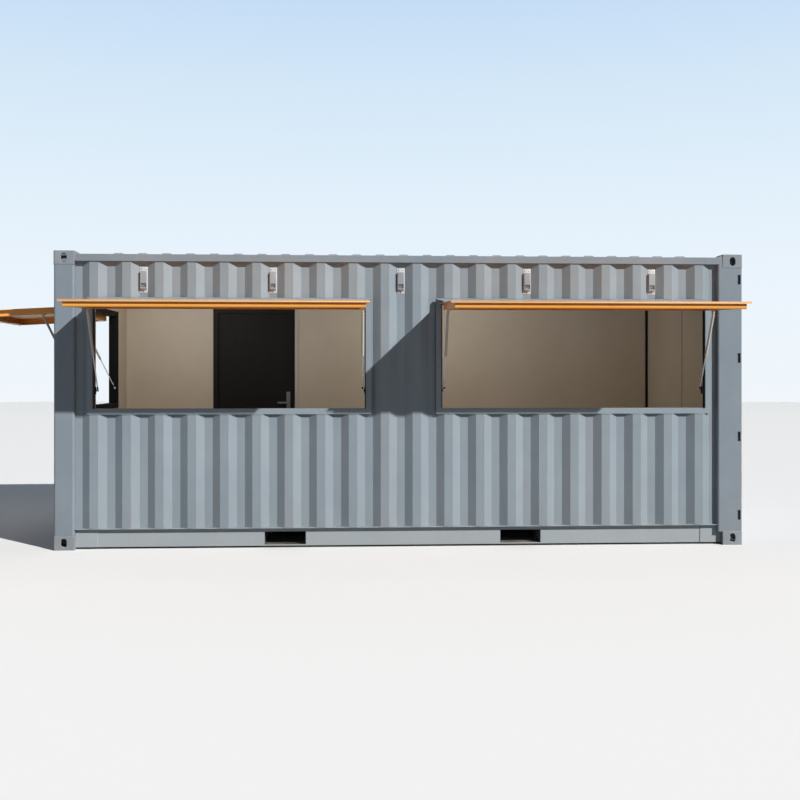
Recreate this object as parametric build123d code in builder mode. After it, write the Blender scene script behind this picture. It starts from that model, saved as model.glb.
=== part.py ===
from build123d import *
from math import cos, hypot, radians, sin
import os

os.makedirs("parts", exist_ok=True)

# The cabin is a steel shipping container with two serving hatches in its front
# wall, one in its blind end, a personnel door in its back wall and a pair of
# cargo doors on its other end.  X runs along it from the blind end to the
# doors, Y from the front wall to the back wall, and Z up from the ground.
# The origin is on the ground, midway between the four bottom castings.

# ---- outside size and the castings that everything hangs from
length = 6058.0
width = 2438.0
height = 2591.0
casting_length = 178.0
casting_width = 162.0
casting_height = 118.0
casting_plate = 28.5
casting_wall = 16.0
casting_corner = 12.0
slot_length = 124.0
slot_width = 63.5
slot_inset_x = 102.5
slot_inset_y = 89.5
side_hole_height = 79.0
side_hole_width = 51.0
side_hole_inset = 89.0
side_hole_rise = 62.0

# ---- fits: how far a cut runs past its face, and the gap between close parts
past = 1.0
fit_gap = 0.3
pin_clearance = 0.05

# ---- frame
post_setback = 2.0
post_sheet = 6.0
post_bend = 18.0
door_post_width = 218.0
door_post_end_gap = 6.0
rail_setback = 2.0
top_rail_size = 60.0
top_rail_drop = 29.0
top_rail_sheet = 4.0
underside = 17.0
bottom_rail_top = 180.0
bottom_rail_sheet = 4.5
bottom_rail_lip = 41.0
bottom_rail_foot = 34.0
rail_web_setback = 2.0
rail_end_plate = 190.0
end_rail_depth = 58.0
end_rail_proud = 3.0
door_frame_depth = 60.0
header_plate = 16.0
tube_sheet = 4.0

# ---- floor and fork pockets
pocket_spacing = 2080.0
pocket_width = 360.0
pocket_height = 115.0
pocket_sheet = 4.5
strap_thickness = 6.0
strap_length = 200.0
deck_thickness = 28.0
member_width = 45.0
member_sheet = 4.0
members_per_bay = 5

# ---- corrugated sheets
sheet = 2.0
panel_setback = 11.0
wave_pitch = 280.2
wave_flat = 70.0
wave_flank = 68.0
wave_depth = 36.0
wave_centre = -24.5
end_wave_pitch = 250.0
end_wave_flat = 70.0
end_wave_flank = 50.0
end_wave_depth = 45.0

# ---- roof
roof_setback = 4.0
roof_pitch = 207.0
roof_bump_width = 97.0
roof_bump_rise = 15.0
roof_bump_slope = 48.0
roof_bump_inset = 30.0
roof_plain_end = 300.0
roof_plate = 3.0
gusset_length = 40.0
gusset_rise = 20.0
gusset_inset = 8.0

# ---- lining
lining = 39.0
end_lining = 28.0
door_lining = 27.0
board_joint = 2.0
ceiling_drop = 62.0
ceiling_board = 12.0

# ---- hatches
corner_pier = 106.0
middle_pier = 570.0
end_hatch_width = 1340.0
hatch_sill = 1222.0
hatch_drop = 364.0
hatch_member = 50.0
hatch_jamb = 55.0
hatch_sheet = 3.0
frame_setback = 5.0
hood_reach = 78.0
hood_drop = 26.0
hood_flange = 24.0
hood_lip = 13.0
hood_fold = 2.0
hood_bevel = 60.0
skin = 2.0
skin_lip = 6.0
skin_lap = 18.0
skin_side_lap = 26.0
seal_gap = 13.5
flap_frame_width = 45.0
flap_frame_depth = 58.0
flap_frame_sheet = 2.0
flap_frame_gap = 8.0
flap_liner = 1.5
skin_start = 6.5
open_angle = 87.0
hinge_rise = 8.0
hinge_end = 180.0
hinge_radius = 5.0
hinge_length = 90.0
hinge_arm_drop = 1.5
hinge_arm_rise = 3.5
hinges_per_hatch = 3

# ---- gas struts
strut_inset = 22.0
strut_foot_rise = 158.0
strut_foot_depth = 78.0
strut_head_depth = 78.0
strut_head_reach = 262.0
strut_tube_radius = 11.0
strut_rod_radius = 5.0
strut_neck = 14.0
strut_stub = 90.0
strut_overlap = 60.0
strut_closed_end = 15.0
eye_radius = 10.0
eye_thickness = 12.0
eye_shank = 13.0
eye_side_gap = 1.0
stud_radius = 4.0
stud_gap = 2.0
bracket_plate = 4.0
bracket_width = 23.0
bracket_height = 60.0
bracket_foot = 18.0
bracket_toe = 9.0

# ---- personnel door
door_centre = -1518.0
leaf_width = 850.0
over_door = 242.0
leaf_thickness = 45.0
leaf_sheet = 1.5
leaf_gap = 6.0
leaf_setback = 2.0
door_member = 43.0
threshold_height = 25.0
door_stop = 12.0
door_hinge_out = 7.0
door_hinge_inset = 210.0
door_hinges = 3
hinge_leaf = 30.0
hinge_plate = 3.0
lever_plate = 8.0
lever_plate_width = 42.0
lever_plate_height = 220.0
lever_plate_drop = 99.0
lever_neck_radius = 8.0
lever_reach = 52.0
lever_height = 1000.0
lever_inset = 68.0
lever_length = 130.0
lever_grip = 12.0
lever_grip_height = 22.0

# ---- cargo doors
cargo_leaf_thickness = 50.0
cargo_face_inset = 42.5
cargo_frame_lap = 7.0
cargo_gap = 6.0
cargo_frame = 60.0
cargo_waves = 5
cargo_flank = 30.0
cargo_flat = 130.0
cargo_wave_depth = 30.0
cargo_hinge_radius = 11.0
cargo_hinge_inset = 84.0
cargo_hinge_set = 20.0
cargo_hinge_half = 35.0
cargo_hinge_tip = 20.0
cargo_hinge_blade = 110.0
cargo_hinge_plate = 8.0
cargo_hinges_per_leaf = 4
hinge_notch_width = 27.0
hinge_notch_height = 85.0
hinge_notch_inset = 30.0
lock_rod_radius = 17.0
lock_rod_gap = 5.0
lock_rod_low = 75.0
lock_rod_high_gap = 17.0
lock_rod_from_middle = 190.0
lock_rod_from_post = 410.0
cam_width = 44.0
cam_height = 40.0
keeper_width = 12.0
guide_ribs = (1, 2, 4)
guide_strap = 3.0
guide_foot = 22.0
guide_height = 50.0
handle_rib = 2
handle_offset = 50.0
handle_length = 420.0
handle_thickness = 12.0
handle_height = 28.0
catch_width = 50.0

# ---- vents
vent_width = 88.0
vent_height = 145.0
vent_depth = 28.0
vent_sheet = 2.0
vent_flange = 40.0
vent_flange_sheet = 3.0
vent_drop = 158.0
vent_base = 66.0
vent_step = 8.0
vent_slot_width = 60.0
vent_slot_height = 30.0
vent_slot_rise = 12.0
front_vents = (-8, -4, 0, 4, 8)
back_vents = (-8, 0, 4, 8)

# ---- planes that several pieces share
half_length = length / 2
half_width = width / 2
casting_end = half_length - casting_length
casting_side = half_width - casting_width
wall_face = half_width - panel_setback
wall_back = wall_face - wave_depth - sheet
end_face = half_length - panel_setback
end_back = end_face - end_wave_depth - sheet
lining_face = wall_back - lining
blind_lining_face = end_back - end_lining
door_post_edge = half_length - door_post_end_gap - door_post_width
rail_outer = half_width - rail_setback
rail_top = height - top_rail_drop
rail_bottom = rail_top - top_rail_size
rail_web = wall_back - rail_web_setback
web_inside = rail_web - bottom_rail_sheet
deck_bottom = underside + bottom_rail_sheet + strap_thickness + pocket_height + pocket_sheet
deck_top = deck_bottom + deck_thickness
ceiling_height = rail_bottom - ceiling_drop
frame_outer = wall_face - frame_setback
end_frame_outer = end_face - frame_setback
hatch_head = rail_bottom - hatch_drop
frame_bottom = hatch_sill - hatch_member
frame_top = hatch_head + hatch_member
hatch_edge_in = middle_pier / 2
hatch_edge_out = casting_end - corner_pier
hatch_centre = (hatch_edge_in + hatch_edge_out) / 2
hatch_width = hatch_edge_out - hatch_edge_in - 2 * hatch_jamb
cargo_face = half_length - cargo_face_inset
cargo_back = cargo_face - cargo_leaf_thickness
door_frame_back = cargo_back - cargo_frame_lap
door_frame_x = (door_frame_back, door_frame_back + door_frame_depth)
door_head = height - casting_height - header_plate
cargo_z = (deck_top + cargo_gap, door_head - cargo_gap)


def save(piece, name):
    """Label a finished piece and write it to its own file."""
    piece.part.label = name
    export_step(piece.part, f"parts/{name}.step")


def spread(low, high, count):
    """Places at even steps between two ends, with one on each end."""
    return [low + (high - low) * step / (count - 1) for step in range(count)]


def block(x_span, y_span, z_span, mode=Mode.ADD):
    """A box between two limits on each axis, in the part being built."""
    middle = [(low + high) / 2 for low, high in (x_span, y_span, z_span)]
    size = [high - low for low, high in (x_span, y_span, z_span)]
    with Locations(tuple(middle)):
        Box(*size, mode=mode)


def prism(plane, points, amount, both=False, mode=Mode.ADD):
    """A closed outline on a plane, extruded along the plane's normal."""
    with BuildSketch(plane) as outline:
        with BuildLine():
            Polyline(*points, close=True)
        make_face()
    extrude(outline.sketch, amount=amount, both=both, mode=mode)


def disc(plane, radius, amount, mode=Mode.ADD):
    """A round bar, or with Mode.SUBTRACT a round hole, on a plane."""
    with BuildSketch(plane) as outline:
        Circle(radius)
    extrude(outline.sketch, amount=amount, mode=mode)


def wave_points(start, stop, pitch, flat, flank, depth, centre=0.0):
    """Corners of a trapezoid wave that is deep on each centre and 0 between."""
    def depth_at(x):
        away = abs((x - centre + pitch / 2) % pitch - pitch / 2)
        ramp = (flat / 2 + flank - away) / flank
        return depth * min(1.0, max(0.0, ramp))

    corners = [start, stop]
    first = int((start - centre) // pitch) - 1
    last = int((stop - centre) // pitch) + 2
    for count in range(first, last):
        for offset in (-flat / 2 - flank, -flat / 2, flat / 2, flat / 2 + flank):
            x = centre + count * pitch + offset
            if start + past < x < stop - past:
                corners.append(x)
    return [(x, depth_at(x)) for x in sorted(corners)]


def wave_sheet(outline, thickness=sheet):
    """The closed section of a sheet that follows a line of wave corners."""
    back = [(x, y + thickness) for x, y in reversed(outline)]
    return list(outline) + back


def wall_sheet(side, x_span, z_span):
    """A piece of the front (-1) or back (+1) corrugated wall."""
    line = wave_points(*x_span, wave_pitch, wave_flat, wave_flank, wave_depth, wave_centre)
    section = wave_sheet(line)
    points = [(x, side * (wall_face - y)) for x, y in section]
    prism(Plane.XY.offset(z_span[0]), points, z_span[1] - z_span[0])


def blind_end_sheet(y_span, z_span):
    """A piece of the blind end's corrugated wall."""
    line = wave_points(*y_span, end_wave_pitch, end_wave_flat, end_wave_flank, end_wave_depth)
    section = wave_sheet(line)
    points = [(y - end_face, x) for x, y in section]
    prism(Plane.XY.offset(z_span[0]), points, z_span[1] - z_span[0])


def tube_along_y(x_span, z_span, y_span, wall):
    """A square tube that runs across the container."""
    block(x_span, y_span, z_span)
    inner_x = (x_span[0] + wall, x_span[1] - wall)
    inner_z = (z_span[0] + wall, z_span[1] - wall)
    block(inner_x, (y_span[0] - past, y_span[1] + past), inner_z, mode=Mode.SUBTRACT)


# ---- corner castings: hollow blocks with a slot, a side hole and an end hole
def corner_casting(side_x, side_y, top):
    """One casting, with its outer upright edge rounded."""
    x_outer = side_x * half_length
    y_outer = side_y * half_width
    x_span = sorted((x_outer, side_x * casting_end))
    y_span = sorted((y_outer, side_y * casting_side))
    z_low = height - casting_height if top else 0.0
    z_high = z_low + casting_height
    with BuildSketch(Plane.XY.offset(z_low)) as plan:
        with Locations((sum(x_span) / 2, sum(y_span) / 2)):
            Rectangle(casting_length, casting_width)
        outer = max(plan.vertices(), key=lambda corner: side_x * corner.X + side_y * corner.Y)
        fillet(outer, casting_corner)
    extrude(plan.sketch, amount=casting_height)
    cavity_low = z_low + (casting_wall if top else casting_plate)
    cavity_high = z_high - (casting_plate if top else casting_wall)
    cavity_x = (x_span[0] + casting_wall, x_span[1] - casting_wall)
    cavity_y = (y_span[0] + casting_wall, y_span[1] - casting_wall)
    block(cavity_x, cavity_y, (cavity_low, cavity_high), mode=Mode.SUBTRACT)
    slot_x = x_outer - side_x * slot_inset_x
    slot_y = y_outer - side_y * slot_inset_y
    slot_z = z_high if top else z_low
    with BuildSketch(Plane((slot_x, slot_y, slot_z))) as slot:
        SlotOverall(slot_length, slot_width)
    extrude(slot.sketch, amount=-casting_plate if top else casting_plate, mode=Mode.SUBTRACT)
    hole_z = z_high - side_hole_rise if top else z_low + side_hole_rise
    hole_x = x_outer - side_x * side_hole_inset
    hole_y = y_outer - side_y * side_hole_inset
    side_plane = Plane((hole_x, y_outer, hole_z), x_dir=(0, 0, 1), z_dir=(0, side_y, 0))
    end_plane = Plane((x_outer, hole_y, hole_z), x_dir=(0, 0, 1), z_dir=(side_x, 0, 0))
    for plane in (side_plane, end_plane):
        with BuildSketch(plane) as hole:
            SlotOverall(side_hole_height, side_hole_width)
        extrude(hole.sketch, amount=-casting_wall, mode=Mode.SUBTRACT)


for name, top in (("top_corner_castings", True), ("bottom_corner_castings", False)):
    with BuildPart() as castings:
        for side_x in (-1, 1):
            for side_y in (-1, 1):
                corner_casting(side_x, side_y, top)
    save(castings, name)

# ---- corner posts: pressed hollow sections between the castings
post_span = (casting_height, height - casting_height)
cargo_hinge_heights = spread(cargo_z[0] + cargo_hinge_inset, cargo_z[1] - cargo_hinge_inset,
                             cargo_hinges_per_leaf)
notch_x = half_length - hinge_notch_inset
notch_span = (notch_x - hinge_notch_width / 2, notch_x + hinge_notch_width / 2)


def hollow_post(points, bends, z_span=post_span):
    """A pressed post: an outline with rounded bends, less its inside."""
    with BuildSketch(Plane.XY.offset(z_span[0])) as section:
        with BuildLine():
            Polyline(*points, close=True)
        make_face()
        rounded = [v for v in section.vertices() if any(
            hypot(v.X - x, v.Y - y) < past for x, y in bends)]
        fillet(rounded, post_bend)
        offset(amount=-post_sheet, mode=Mode.SUBTRACT)
    extrude(section.sketch, amount=z_span[1] - z_span[0])


with BuildPart() as blind_posts:
    for side in (-1, 1):
        x_out = -half_length + post_setback
        x_in = -casting_end
        y_out = side * (half_width - post_setback)
        y_wall = side * wall_back
        y_in = side * casting_side
        outline = [(x_out, y_out), (x_in, y_out), (x_in, y_wall),
                   (-end_back, y_wall), (-end_back, y_in), (x_out, y_in)]
        hollow_post(outline, [outline[0], outline[1], outline[5]])
save(blind_posts, "blind_end_corner_posts")

with BuildPart() as door_posts:
    for side in (-1, 1):
        x_out = half_length - door_post_end_gap
        y_out = side * (half_width - post_setback)
        y_wall = side * wall_back
        outline = [(door_post_edge, y_out), (x_out, y_out),
                   (x_out, y_wall), (door_post_edge, y_wall)]
        hollow_post(outline, outline[:1], (casting_height, rail_bottom))
        post_y = sorted((y_wall, y_out))
        block((casting_end, half_length), post_y, (post_span[1], rail_bottom), mode=Mode.SUBTRACT)
        cut_y = (post_y[0] - past, post_y[1] + past)
        for z in cargo_hinge_heights:
            notch_z = (z - hinge_notch_height / 2, z + hinge_notch_height / 2)
            block(notch_span, cut_y, notch_z, mode=Mode.SUBTRACT)
            for low in (notch_z[0] - post_sheet, notch_z[1]):
                block(notch_span, post_y, (low, low + post_sheet))
save(door_posts, "door_end_corner_posts")

# ---- rails along the top and the bottom of the long walls
with BuildPart() as top_rails:
    for side in (-1, 1):
        y_span = sorted((side * rail_outer, side * (rail_outer - top_rail_size)))
        block((-casting_end, casting_end), y_span, (rail_bottom, rail_top))
        inner_y = (y_span[0] + top_rail_sheet, y_span[1] - top_rail_sheet)
        inner_z = (rail_bottom + top_rail_sheet, rail_top - top_rail_sheet)
        inner_x = (-casting_end - past, casting_end + past)
        block(inner_x, inner_y, inner_z, mode=Mode.SUBTRACT)
save(top_rails, "top_side_rails")

pocket_bottom = underside + bottom_rail_sheet + strap_thickness
pocket_top = pocket_bottom + pocket_height
pocket_centres = (-pocket_spacing / 2, pocket_spacing / 2)


def bottom_rail(side):
    """A pressed rail: lip outwards at the top, web, and foot inwards."""
    lip_end = rail_web + bottom_rail_lip
    foot_end = rail_web - bottom_rail_foot
    foot_top = underside + bottom_rail_sheet
    lip_low = bottom_rail_top - bottom_rail_sheet
    section = [(lip_end, bottom_rail_top), (web_inside, bottom_rail_top), (web_inside, foot_top),
               (foot_end, foot_top), (foot_end, underside), (rail_web, underside),
               (rail_web, lip_low), (lip_end, lip_low)]
    points = [(side * y, z) for y, z in section]
    prism(Plane.YZ.offset(-casting_end), points, 2 * casting_end)
    plate_y = sorted((side * rail_web, side * (rail_web + bottom_rail_sheet)))
    for end in (-1, 1):
        plate_x = sorted((end * casting_end, end * (casting_end - rail_end_plate)))
        block(plate_x, plate_y, (underside, lip_low))
    post_y = sorted((side * (foot_end - past), side * (lip_end + past)))
    post_z = (casting_height, bottom_rail_top + past)
    block((door_post_edge, casting_end + past), post_y, post_z, mode=Mode.SUBTRACT)
    for centre in pocket_centres:
        window_x = (centre - pocket_width / 2, centre + pocket_width / 2)
        window_y = sorted((side * (rail_web + past), side * (web_inside - past)))
        block(window_x, window_y, (pocket_bottom, pocket_top), mode=Mode.SUBTRACT)


with BuildPart() as bottom_rails:
    for side in (-1, 1):
        bottom_rail(side)
save(bottom_rails, "bottom_side_rails")

# ---- rails across the blind end, and the header and sill of the door end
across_y = (-casting_side, casting_side)
blind_rail_out = -end_face - end_rail_proud
blind_rail_x = (blind_rail_out, blind_rail_out + end_rail_depth)
with BuildPart() as blind_rails:
    tube_along_y(blind_rail_x, (rail_bottom, rail_top), across_y, tube_sheet)
    tube_along_y(blind_rail_x, (underside, bottom_rail_top), across_y, tube_sheet)
save(blind_rails, "blind_end_rails")

with BuildPart() as header:
    tube_along_y(door_frame_x, (height - casting_height, rail_top), across_y, tube_sheet)
    block(door_frame_x, (-wall_back, wall_back), (door_head, height - casting_height))
save(header, "door_header")

with BuildPart() as sill:
    tube_along_y(door_frame_x, (underside, deck_top), across_y, tube_sheet)
save(sill, "door_sill")

# ---- fork pockets: tunnels across the base, with a strap under each mouth
with BuildPart() as pockets:
    for centre in pocket_centres:
        inner_x = (centre - pocket_width / 2, centre + pocket_width / 2)
        outer_x = (inner_x[0] - pocket_sheet, inner_x[1] + pocket_sheet)
        block(outer_x, (-web_inside, web_inside), (pocket_bottom, deck_bottom))
        tunnel_y = (-web_inside - past, web_inside + past)
        block(inner_x, tunnel_y, (pocket_bottom - past, pocket_top), mode=Mode.SUBTRACT)
        for side in (-1, 1):
            strap_y = sorted((side * web_inside, side * (web_inside - strap_length)))
            block(outer_x, strap_y, (pocket_bottom - strap_thickness, pocket_bottom))
save(pockets, "fork_pockets")

# ---- cross members between the bottom rails, and the deck on them
floor_front = blind_rail_x[1]
bays = [(floor_front, pocket_centres[0] - pocket_width / 2 - pocket_sheet),
        (pocket_centres[0] + pocket_width / 2 + pocket_sheet,
         pocket_centres[1] - pocket_width / 2 - pocket_sheet),
        (pocket_centres[1] + pocket_width / 2 + pocket_sheet, door_frame_back)]
member_bottom = underside + bottom_rail_sheet
with BuildPart() as members:
    for low, high in bays:
        for x in spread(low, high, members_per_bay + 2)[1:-1]:
            section = [(x, member_bottom), (x + member_width, member_bottom),
                       (x + member_width, member_bottom + member_sheet),
                       (x + member_sheet, member_bottom + member_sheet),
                       (x + member_sheet, deck_bottom - member_sheet),
                       (x + member_width, deck_bottom - member_sheet),
                       (x + member_width, deck_bottom), (x, deck_bottom)]
            prism(Plane.XZ, section, web_inside, both=True)
save(members, "floor_cross_members")

with BuildPart() as deck:
    block((floor_front, door_frame_back), (-web_inside, web_inside), (deck_bottom, deck_top))
save(deck, "floor_deck")

# ---- roof: a sheet with bumps pressed up across it, a flat plate at each end
# and a sloping plate beside each casting that keeps a hook off the sheet
roof_edge = rail_outer - roof_setback
roof_top = rail_top + sheet
roof_bumps = 2 * int((casting_end - roof_plain_end) / roof_pitch) + 1
bump_length = 2 * (roof_edge - roof_bump_inset)


def roof_pans(z, inset, mode):
    """All the bumps at once, each drawn in on its four sides as it rises."""
    with BuildSketch(Plane.XY.offset(z)) as pans:
        with GridLocations(roof_pitch, roof_pitch, roof_bumps, 1):
            Rectangle(roof_bump_width - 2 * inset, bump_length - 2 * inset)
    extrude(pans.sketch, amount=roof_bump_rise, taper=roof_bump_slope, mode=mode)


with BuildPart() as roof:
    block((-casting_end, casting_end), (-roof_edge, roof_edge), (rail_top, roof_top))
    roof_pans(roof_top, 0.0, Mode.ADD)
    roof_pans(rail_top, sheet / 2, Mode.SUBTRACT)
    for end in (-1, 1):
        plate_x = sorted((end * casting_end, end * end_face))
        block(plate_x, across_y, (rail_top, rail_top + roof_plate))
        slope = [(end * casting_end, roof_top), (end * casting_end, roof_top + gusset_rise),
                 (end * (casting_end - gusset_length), roof_top)]
        for y_far in (roof_edge, -casting_side - gusset_inset):
            prism(Plane.XZ.offset(-y_far), slope, roof_edge - casting_side - gusset_inset)
save(roof, "roof_panel")

# ---- corrugated walls, cut round the hatches and the personnel door
wall_bottom = bottom_rail_top
wall_top = rail_bottom
wall_x = (-casting_end, door_post_edge)
with BuildPart() as front_bands:
    wall_sheet(-1, wall_x, (frame_top, wall_top))
    wall_sheet(-1, wall_x, (wall_bottom, frame_bottom))
save(front_bands, "front_wall_bands")

with BuildPart() as front_piers:
    wall_sheet(-1, (wall_x[0], -hatch_edge_out), (frame_bottom, frame_top))
    wall_sheet(-1, (-hatch_edge_in, hatch_edge_in), (frame_bottom, frame_top))
    wall_sheet(-1, (hatch_edge_out, wall_x[1]), (frame_bottom, frame_top))
save(front_piers, "front_wall_piers")

half_opening = leaf_width / 2 + leaf_gap
door_outer = (door_centre - half_opening - door_member, door_centre + half_opening + door_member)
door_outer_top = wall_top - over_door
door_opening_top = door_outer_top - door_member
leaf_z = (wall_bottom + threshold_height + leaf_gap, door_opening_top - leaf_gap)
with BuildPart() as back_sides:
    wall_sheet(1, (wall_x[0], door_outer[0]), (wall_bottom, wall_top))
    wall_sheet(1, (door_outer[1], wall_x[1]), (wall_bottom, wall_top))
save(back_sides, "back_wall_sides")

with BuildPart() as back_over_door:
    wall_sheet(1, door_outer, (door_outer_top, wall_top))
save(back_over_door, "back_wall_over_door")

end_hatch_edge = end_hatch_width / 2 + hatch_jamb
with BuildPart() as blind_bands:
    blind_end_sheet(across_y, (frame_top, wall_top))
    blind_end_sheet(across_y, (wall_bottom, frame_bottom))
save(blind_bands, "blind_end_wall_bands")

with BuildPart() as blind_piers:
    blind_end_sheet((across_y[0], -end_hatch_edge), (frame_bottom, frame_top))
    blind_end_sheet((end_hatch_edge, across_y[1]), (frame_bottom, frame_top))
save(blind_piers, "blind_end_wall_piers")

# ---- lining boards, with a joint between one board and the next
board_z = (bottom_rail_top, ceiling_height)
gap = board_joint / 2
front_y = (-wall_back, -lining_face)
with BuildPart() as front_lining:
    for x_span in ((-end_back, -hatch_edge_out - gap), (-hatch_edge_in + gap, hatch_edge_in - gap),
                   (hatch_edge_out + gap, door_frame_back)):
        block(x_span, front_y, board_z)
    for side in (-1, 1):
        x_span = sorted((side * (hatch_edge_in + gap), side * (hatch_edge_out - gap)))
        block(x_span, front_y, (bottom_rail_top, frame_bottom - gap))
        block(x_span, front_y, (frame_top + gap, ceiling_height))
save(front_lining, "front_wall_lining")

back_y = (lining_face, wall_back)
with BuildPart() as back_lining:
    block((-end_back, door_outer[0] - gap), back_y, board_z)
    block((door_outer[1] + gap, door_frame_back), back_y, board_z)
    block((door_outer[0] + gap, door_outer[1] - gap), back_y, (door_outer_top + gap, ceiling_height))
save(back_lining, "back_wall_lining")

blind_x = (-end_back, -blind_lining_face)
with BuildPart() as blind_lining:
    for side in (-1, 1):
        y_span = sorted((side * (end_hatch_edge + gap), side * (lining_face - gap)))
        block(blind_x, y_span, board_z)
    inner_y = (-end_hatch_edge + gap, end_hatch_edge - gap)
    block(blind_x, inner_y, (bottom_rail_top, frame_bottom - gap))
    block(blind_x, inner_y, (frame_top + gap, ceiling_height))
save(blind_lining, "blind_end_lining")

with BuildPart() as ceiling:
    block((-end_back, door_frame_back), (-wall_back, wall_back),
          (ceiling_height, ceiling_height + ceiling_board))
save(ceiling, "ceiling_lining")


# ---- hatches.  Each is drawn on a plane on its frame's outer face: x along the
# wall, y up and z outwards.
def face_plane(origin, outward):
    """An upright plane that looks outwards."""
    return Plane(origin, x_dir=Vector(0, 0, 1).cross(Vector(*outward)), z_dir=outward)


def across(plane, slide=0.0):
    """The plane that cuts one across, at a place along it: x outwards, y up."""
    return Plane(plane.origin, x_dir=plane.z_dir, z_dir=plane.x_dir * -1).offset(-slide)


def box_on(plane, x_span, y_span, z_span, mode=Mode.ADD):
    """A box between two limits along each direction of a plane."""
    with BuildSketch(plane.offset(z_span[0])) as outline:
        with Locations((sum(x_span) / 2, sum(y_span) / 2)):
            Rectangle(x_span[1] - x_span[0], y_span[1] - y_span[0])
    extrude(outline.sketch, amount=z_span[1] - z_span[0], mode=mode)


def bar_on(plane, x_span, y, z, radius):
    """A round bar between two places along a plane's x direction."""
    start = plane.origin + plane.x_dir * x_span[0] + plane.y_dir * y + plane.z_dir * z
    disc(Plane(start, z_dir=plane.x_dir), radius, x_span[1] - x_span[0])


def channel_ring(plane, outer, inner, depth, wall):
    """A frame of folded channel round an opening, open towards the wall."""
    box_on(plane, *outer, (-depth, 0))
    box_on(plane, *inner, (-depth - past, past), mode=Mode.SUBTRACT)
    with BuildSketch(plane.offset(-wall)) as groove:
        for (x_span, y_span), grow, mode in ((outer, past, Mode.ADD), (inner, wall, Mode.SUBTRACT)):
            with Locations((sum(x_span) / 2, sum(y_span) / 2)):
                Rectangle(x_span[1] - x_span[0] + 2 * grow, y_span[1] - y_span[0] + 2 * grow, mode=mode)
    extrude(groove.sketch, amount=-(depth - 2 * wall), mode=Mode.SUBTRACT)


hinge_out = seal_gap + skin_lip
hinge_up = hatch_head + hinge_rise
flap_length = hinge_up - hatch_sill + skin_lap
frame_reach = hinge_up - hatch_sill - flap_frame_gap
frame_start = hinge_rise + flap_frame_gap
foot_out = hinge_out - strut_foot_depth
foot_up = hatch_sill + strut_foot_rise
closed_reach = hinge_up - strut_head_reach - foot_up
strut_tube_length = closed_reach - strut_neck - strut_stub


def hinge_places(width):
    """The middle of each weld-on hinge, whose two barrels lie end to end."""
    return spread(hinge_end - width / 2, width / 2 - hinge_end, hinges_per_hatch)


def hatch_frame(plane, width, depth):
    """The folded frame, its hinge barrels and the brackets of the strut feet."""
    outer = ((-width / 2 - hatch_jamb, width / 2 + hatch_jamb), (frame_bottom, frame_top))
    inner = ((-width / 2, width / 2), (hatch_sill, hatch_head))
    channel_ring(plane, outer, inner, depth, hatch_sheet)
    for x in hinge_places(width):
        barrel = (x - hinge_length / 2, x - fit_gap / 2)
        bar_on(plane, barrel, hinge_up, hinge_out, hinge_radius)
        box_on(plane, barrel, (hinge_up - hinge_arm_drop, hinge_up + hinge_arm_rise), (0, hinge_out))
    for side in (-1, 1):
        jamb = side * width / 2
        plate_x = sorted((jamb, jamb - side * bracket_plate))
        plate_y = (foot_up - bracket_height / 2, foot_up + bracket_height / 2)
        box_on(plane, plate_x, plate_y, (foot_out - bracket_width / 2, foot_out + bracket_width / 2))
        stud = strut_inset - eye_thickness / 2 - stud_gap
        bar_on(plane, sorted((jamb, jamb - side * stud)), foot_up, foot_out, stud_radius)


def flap_plane(plane):
    """The open flap's own plane: x along the hinge, y back to it, z outer face."""
    swing = radians(open_angle)
    normal = plane.z_dir * cos(swing) + plane.y_dir * sin(swing)
    origin = plane.origin + plane.y_dir * hinge_up + plane.z_dir * hinge_out
    return Plane(origin, x_dir=plane.x_dir, z_dir=normal)


def flap_skin(flap, width):
    """The outer sheet, turned down on three sides, with its hinge barrels."""
    half = width / 2 + skin_side_lap
    box_on(flap, (-half, half), (-flap_length, -skin_start), (-skin, 0))
    rims = [((-half, -half + skin), (-flap_length, -skin_start)),
            ((half - skin, half), (-flap_length, -skin_start)),
            ((-half, half), (-flap_length, -flap_length + skin))]
    for x_span, y_span in rims:
        box_on(flap, x_span, y_span, (-skin_lip, 0))
    for x in hinge_places(width):
        barrel = (x + fit_gap / 2, x + hinge_length / 2)
        box_on(flap, barrel, (-skin_start - past, 0), (-skin, 0))
        bar_on(flap, barrel, 0, 0, hinge_radius)


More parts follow.
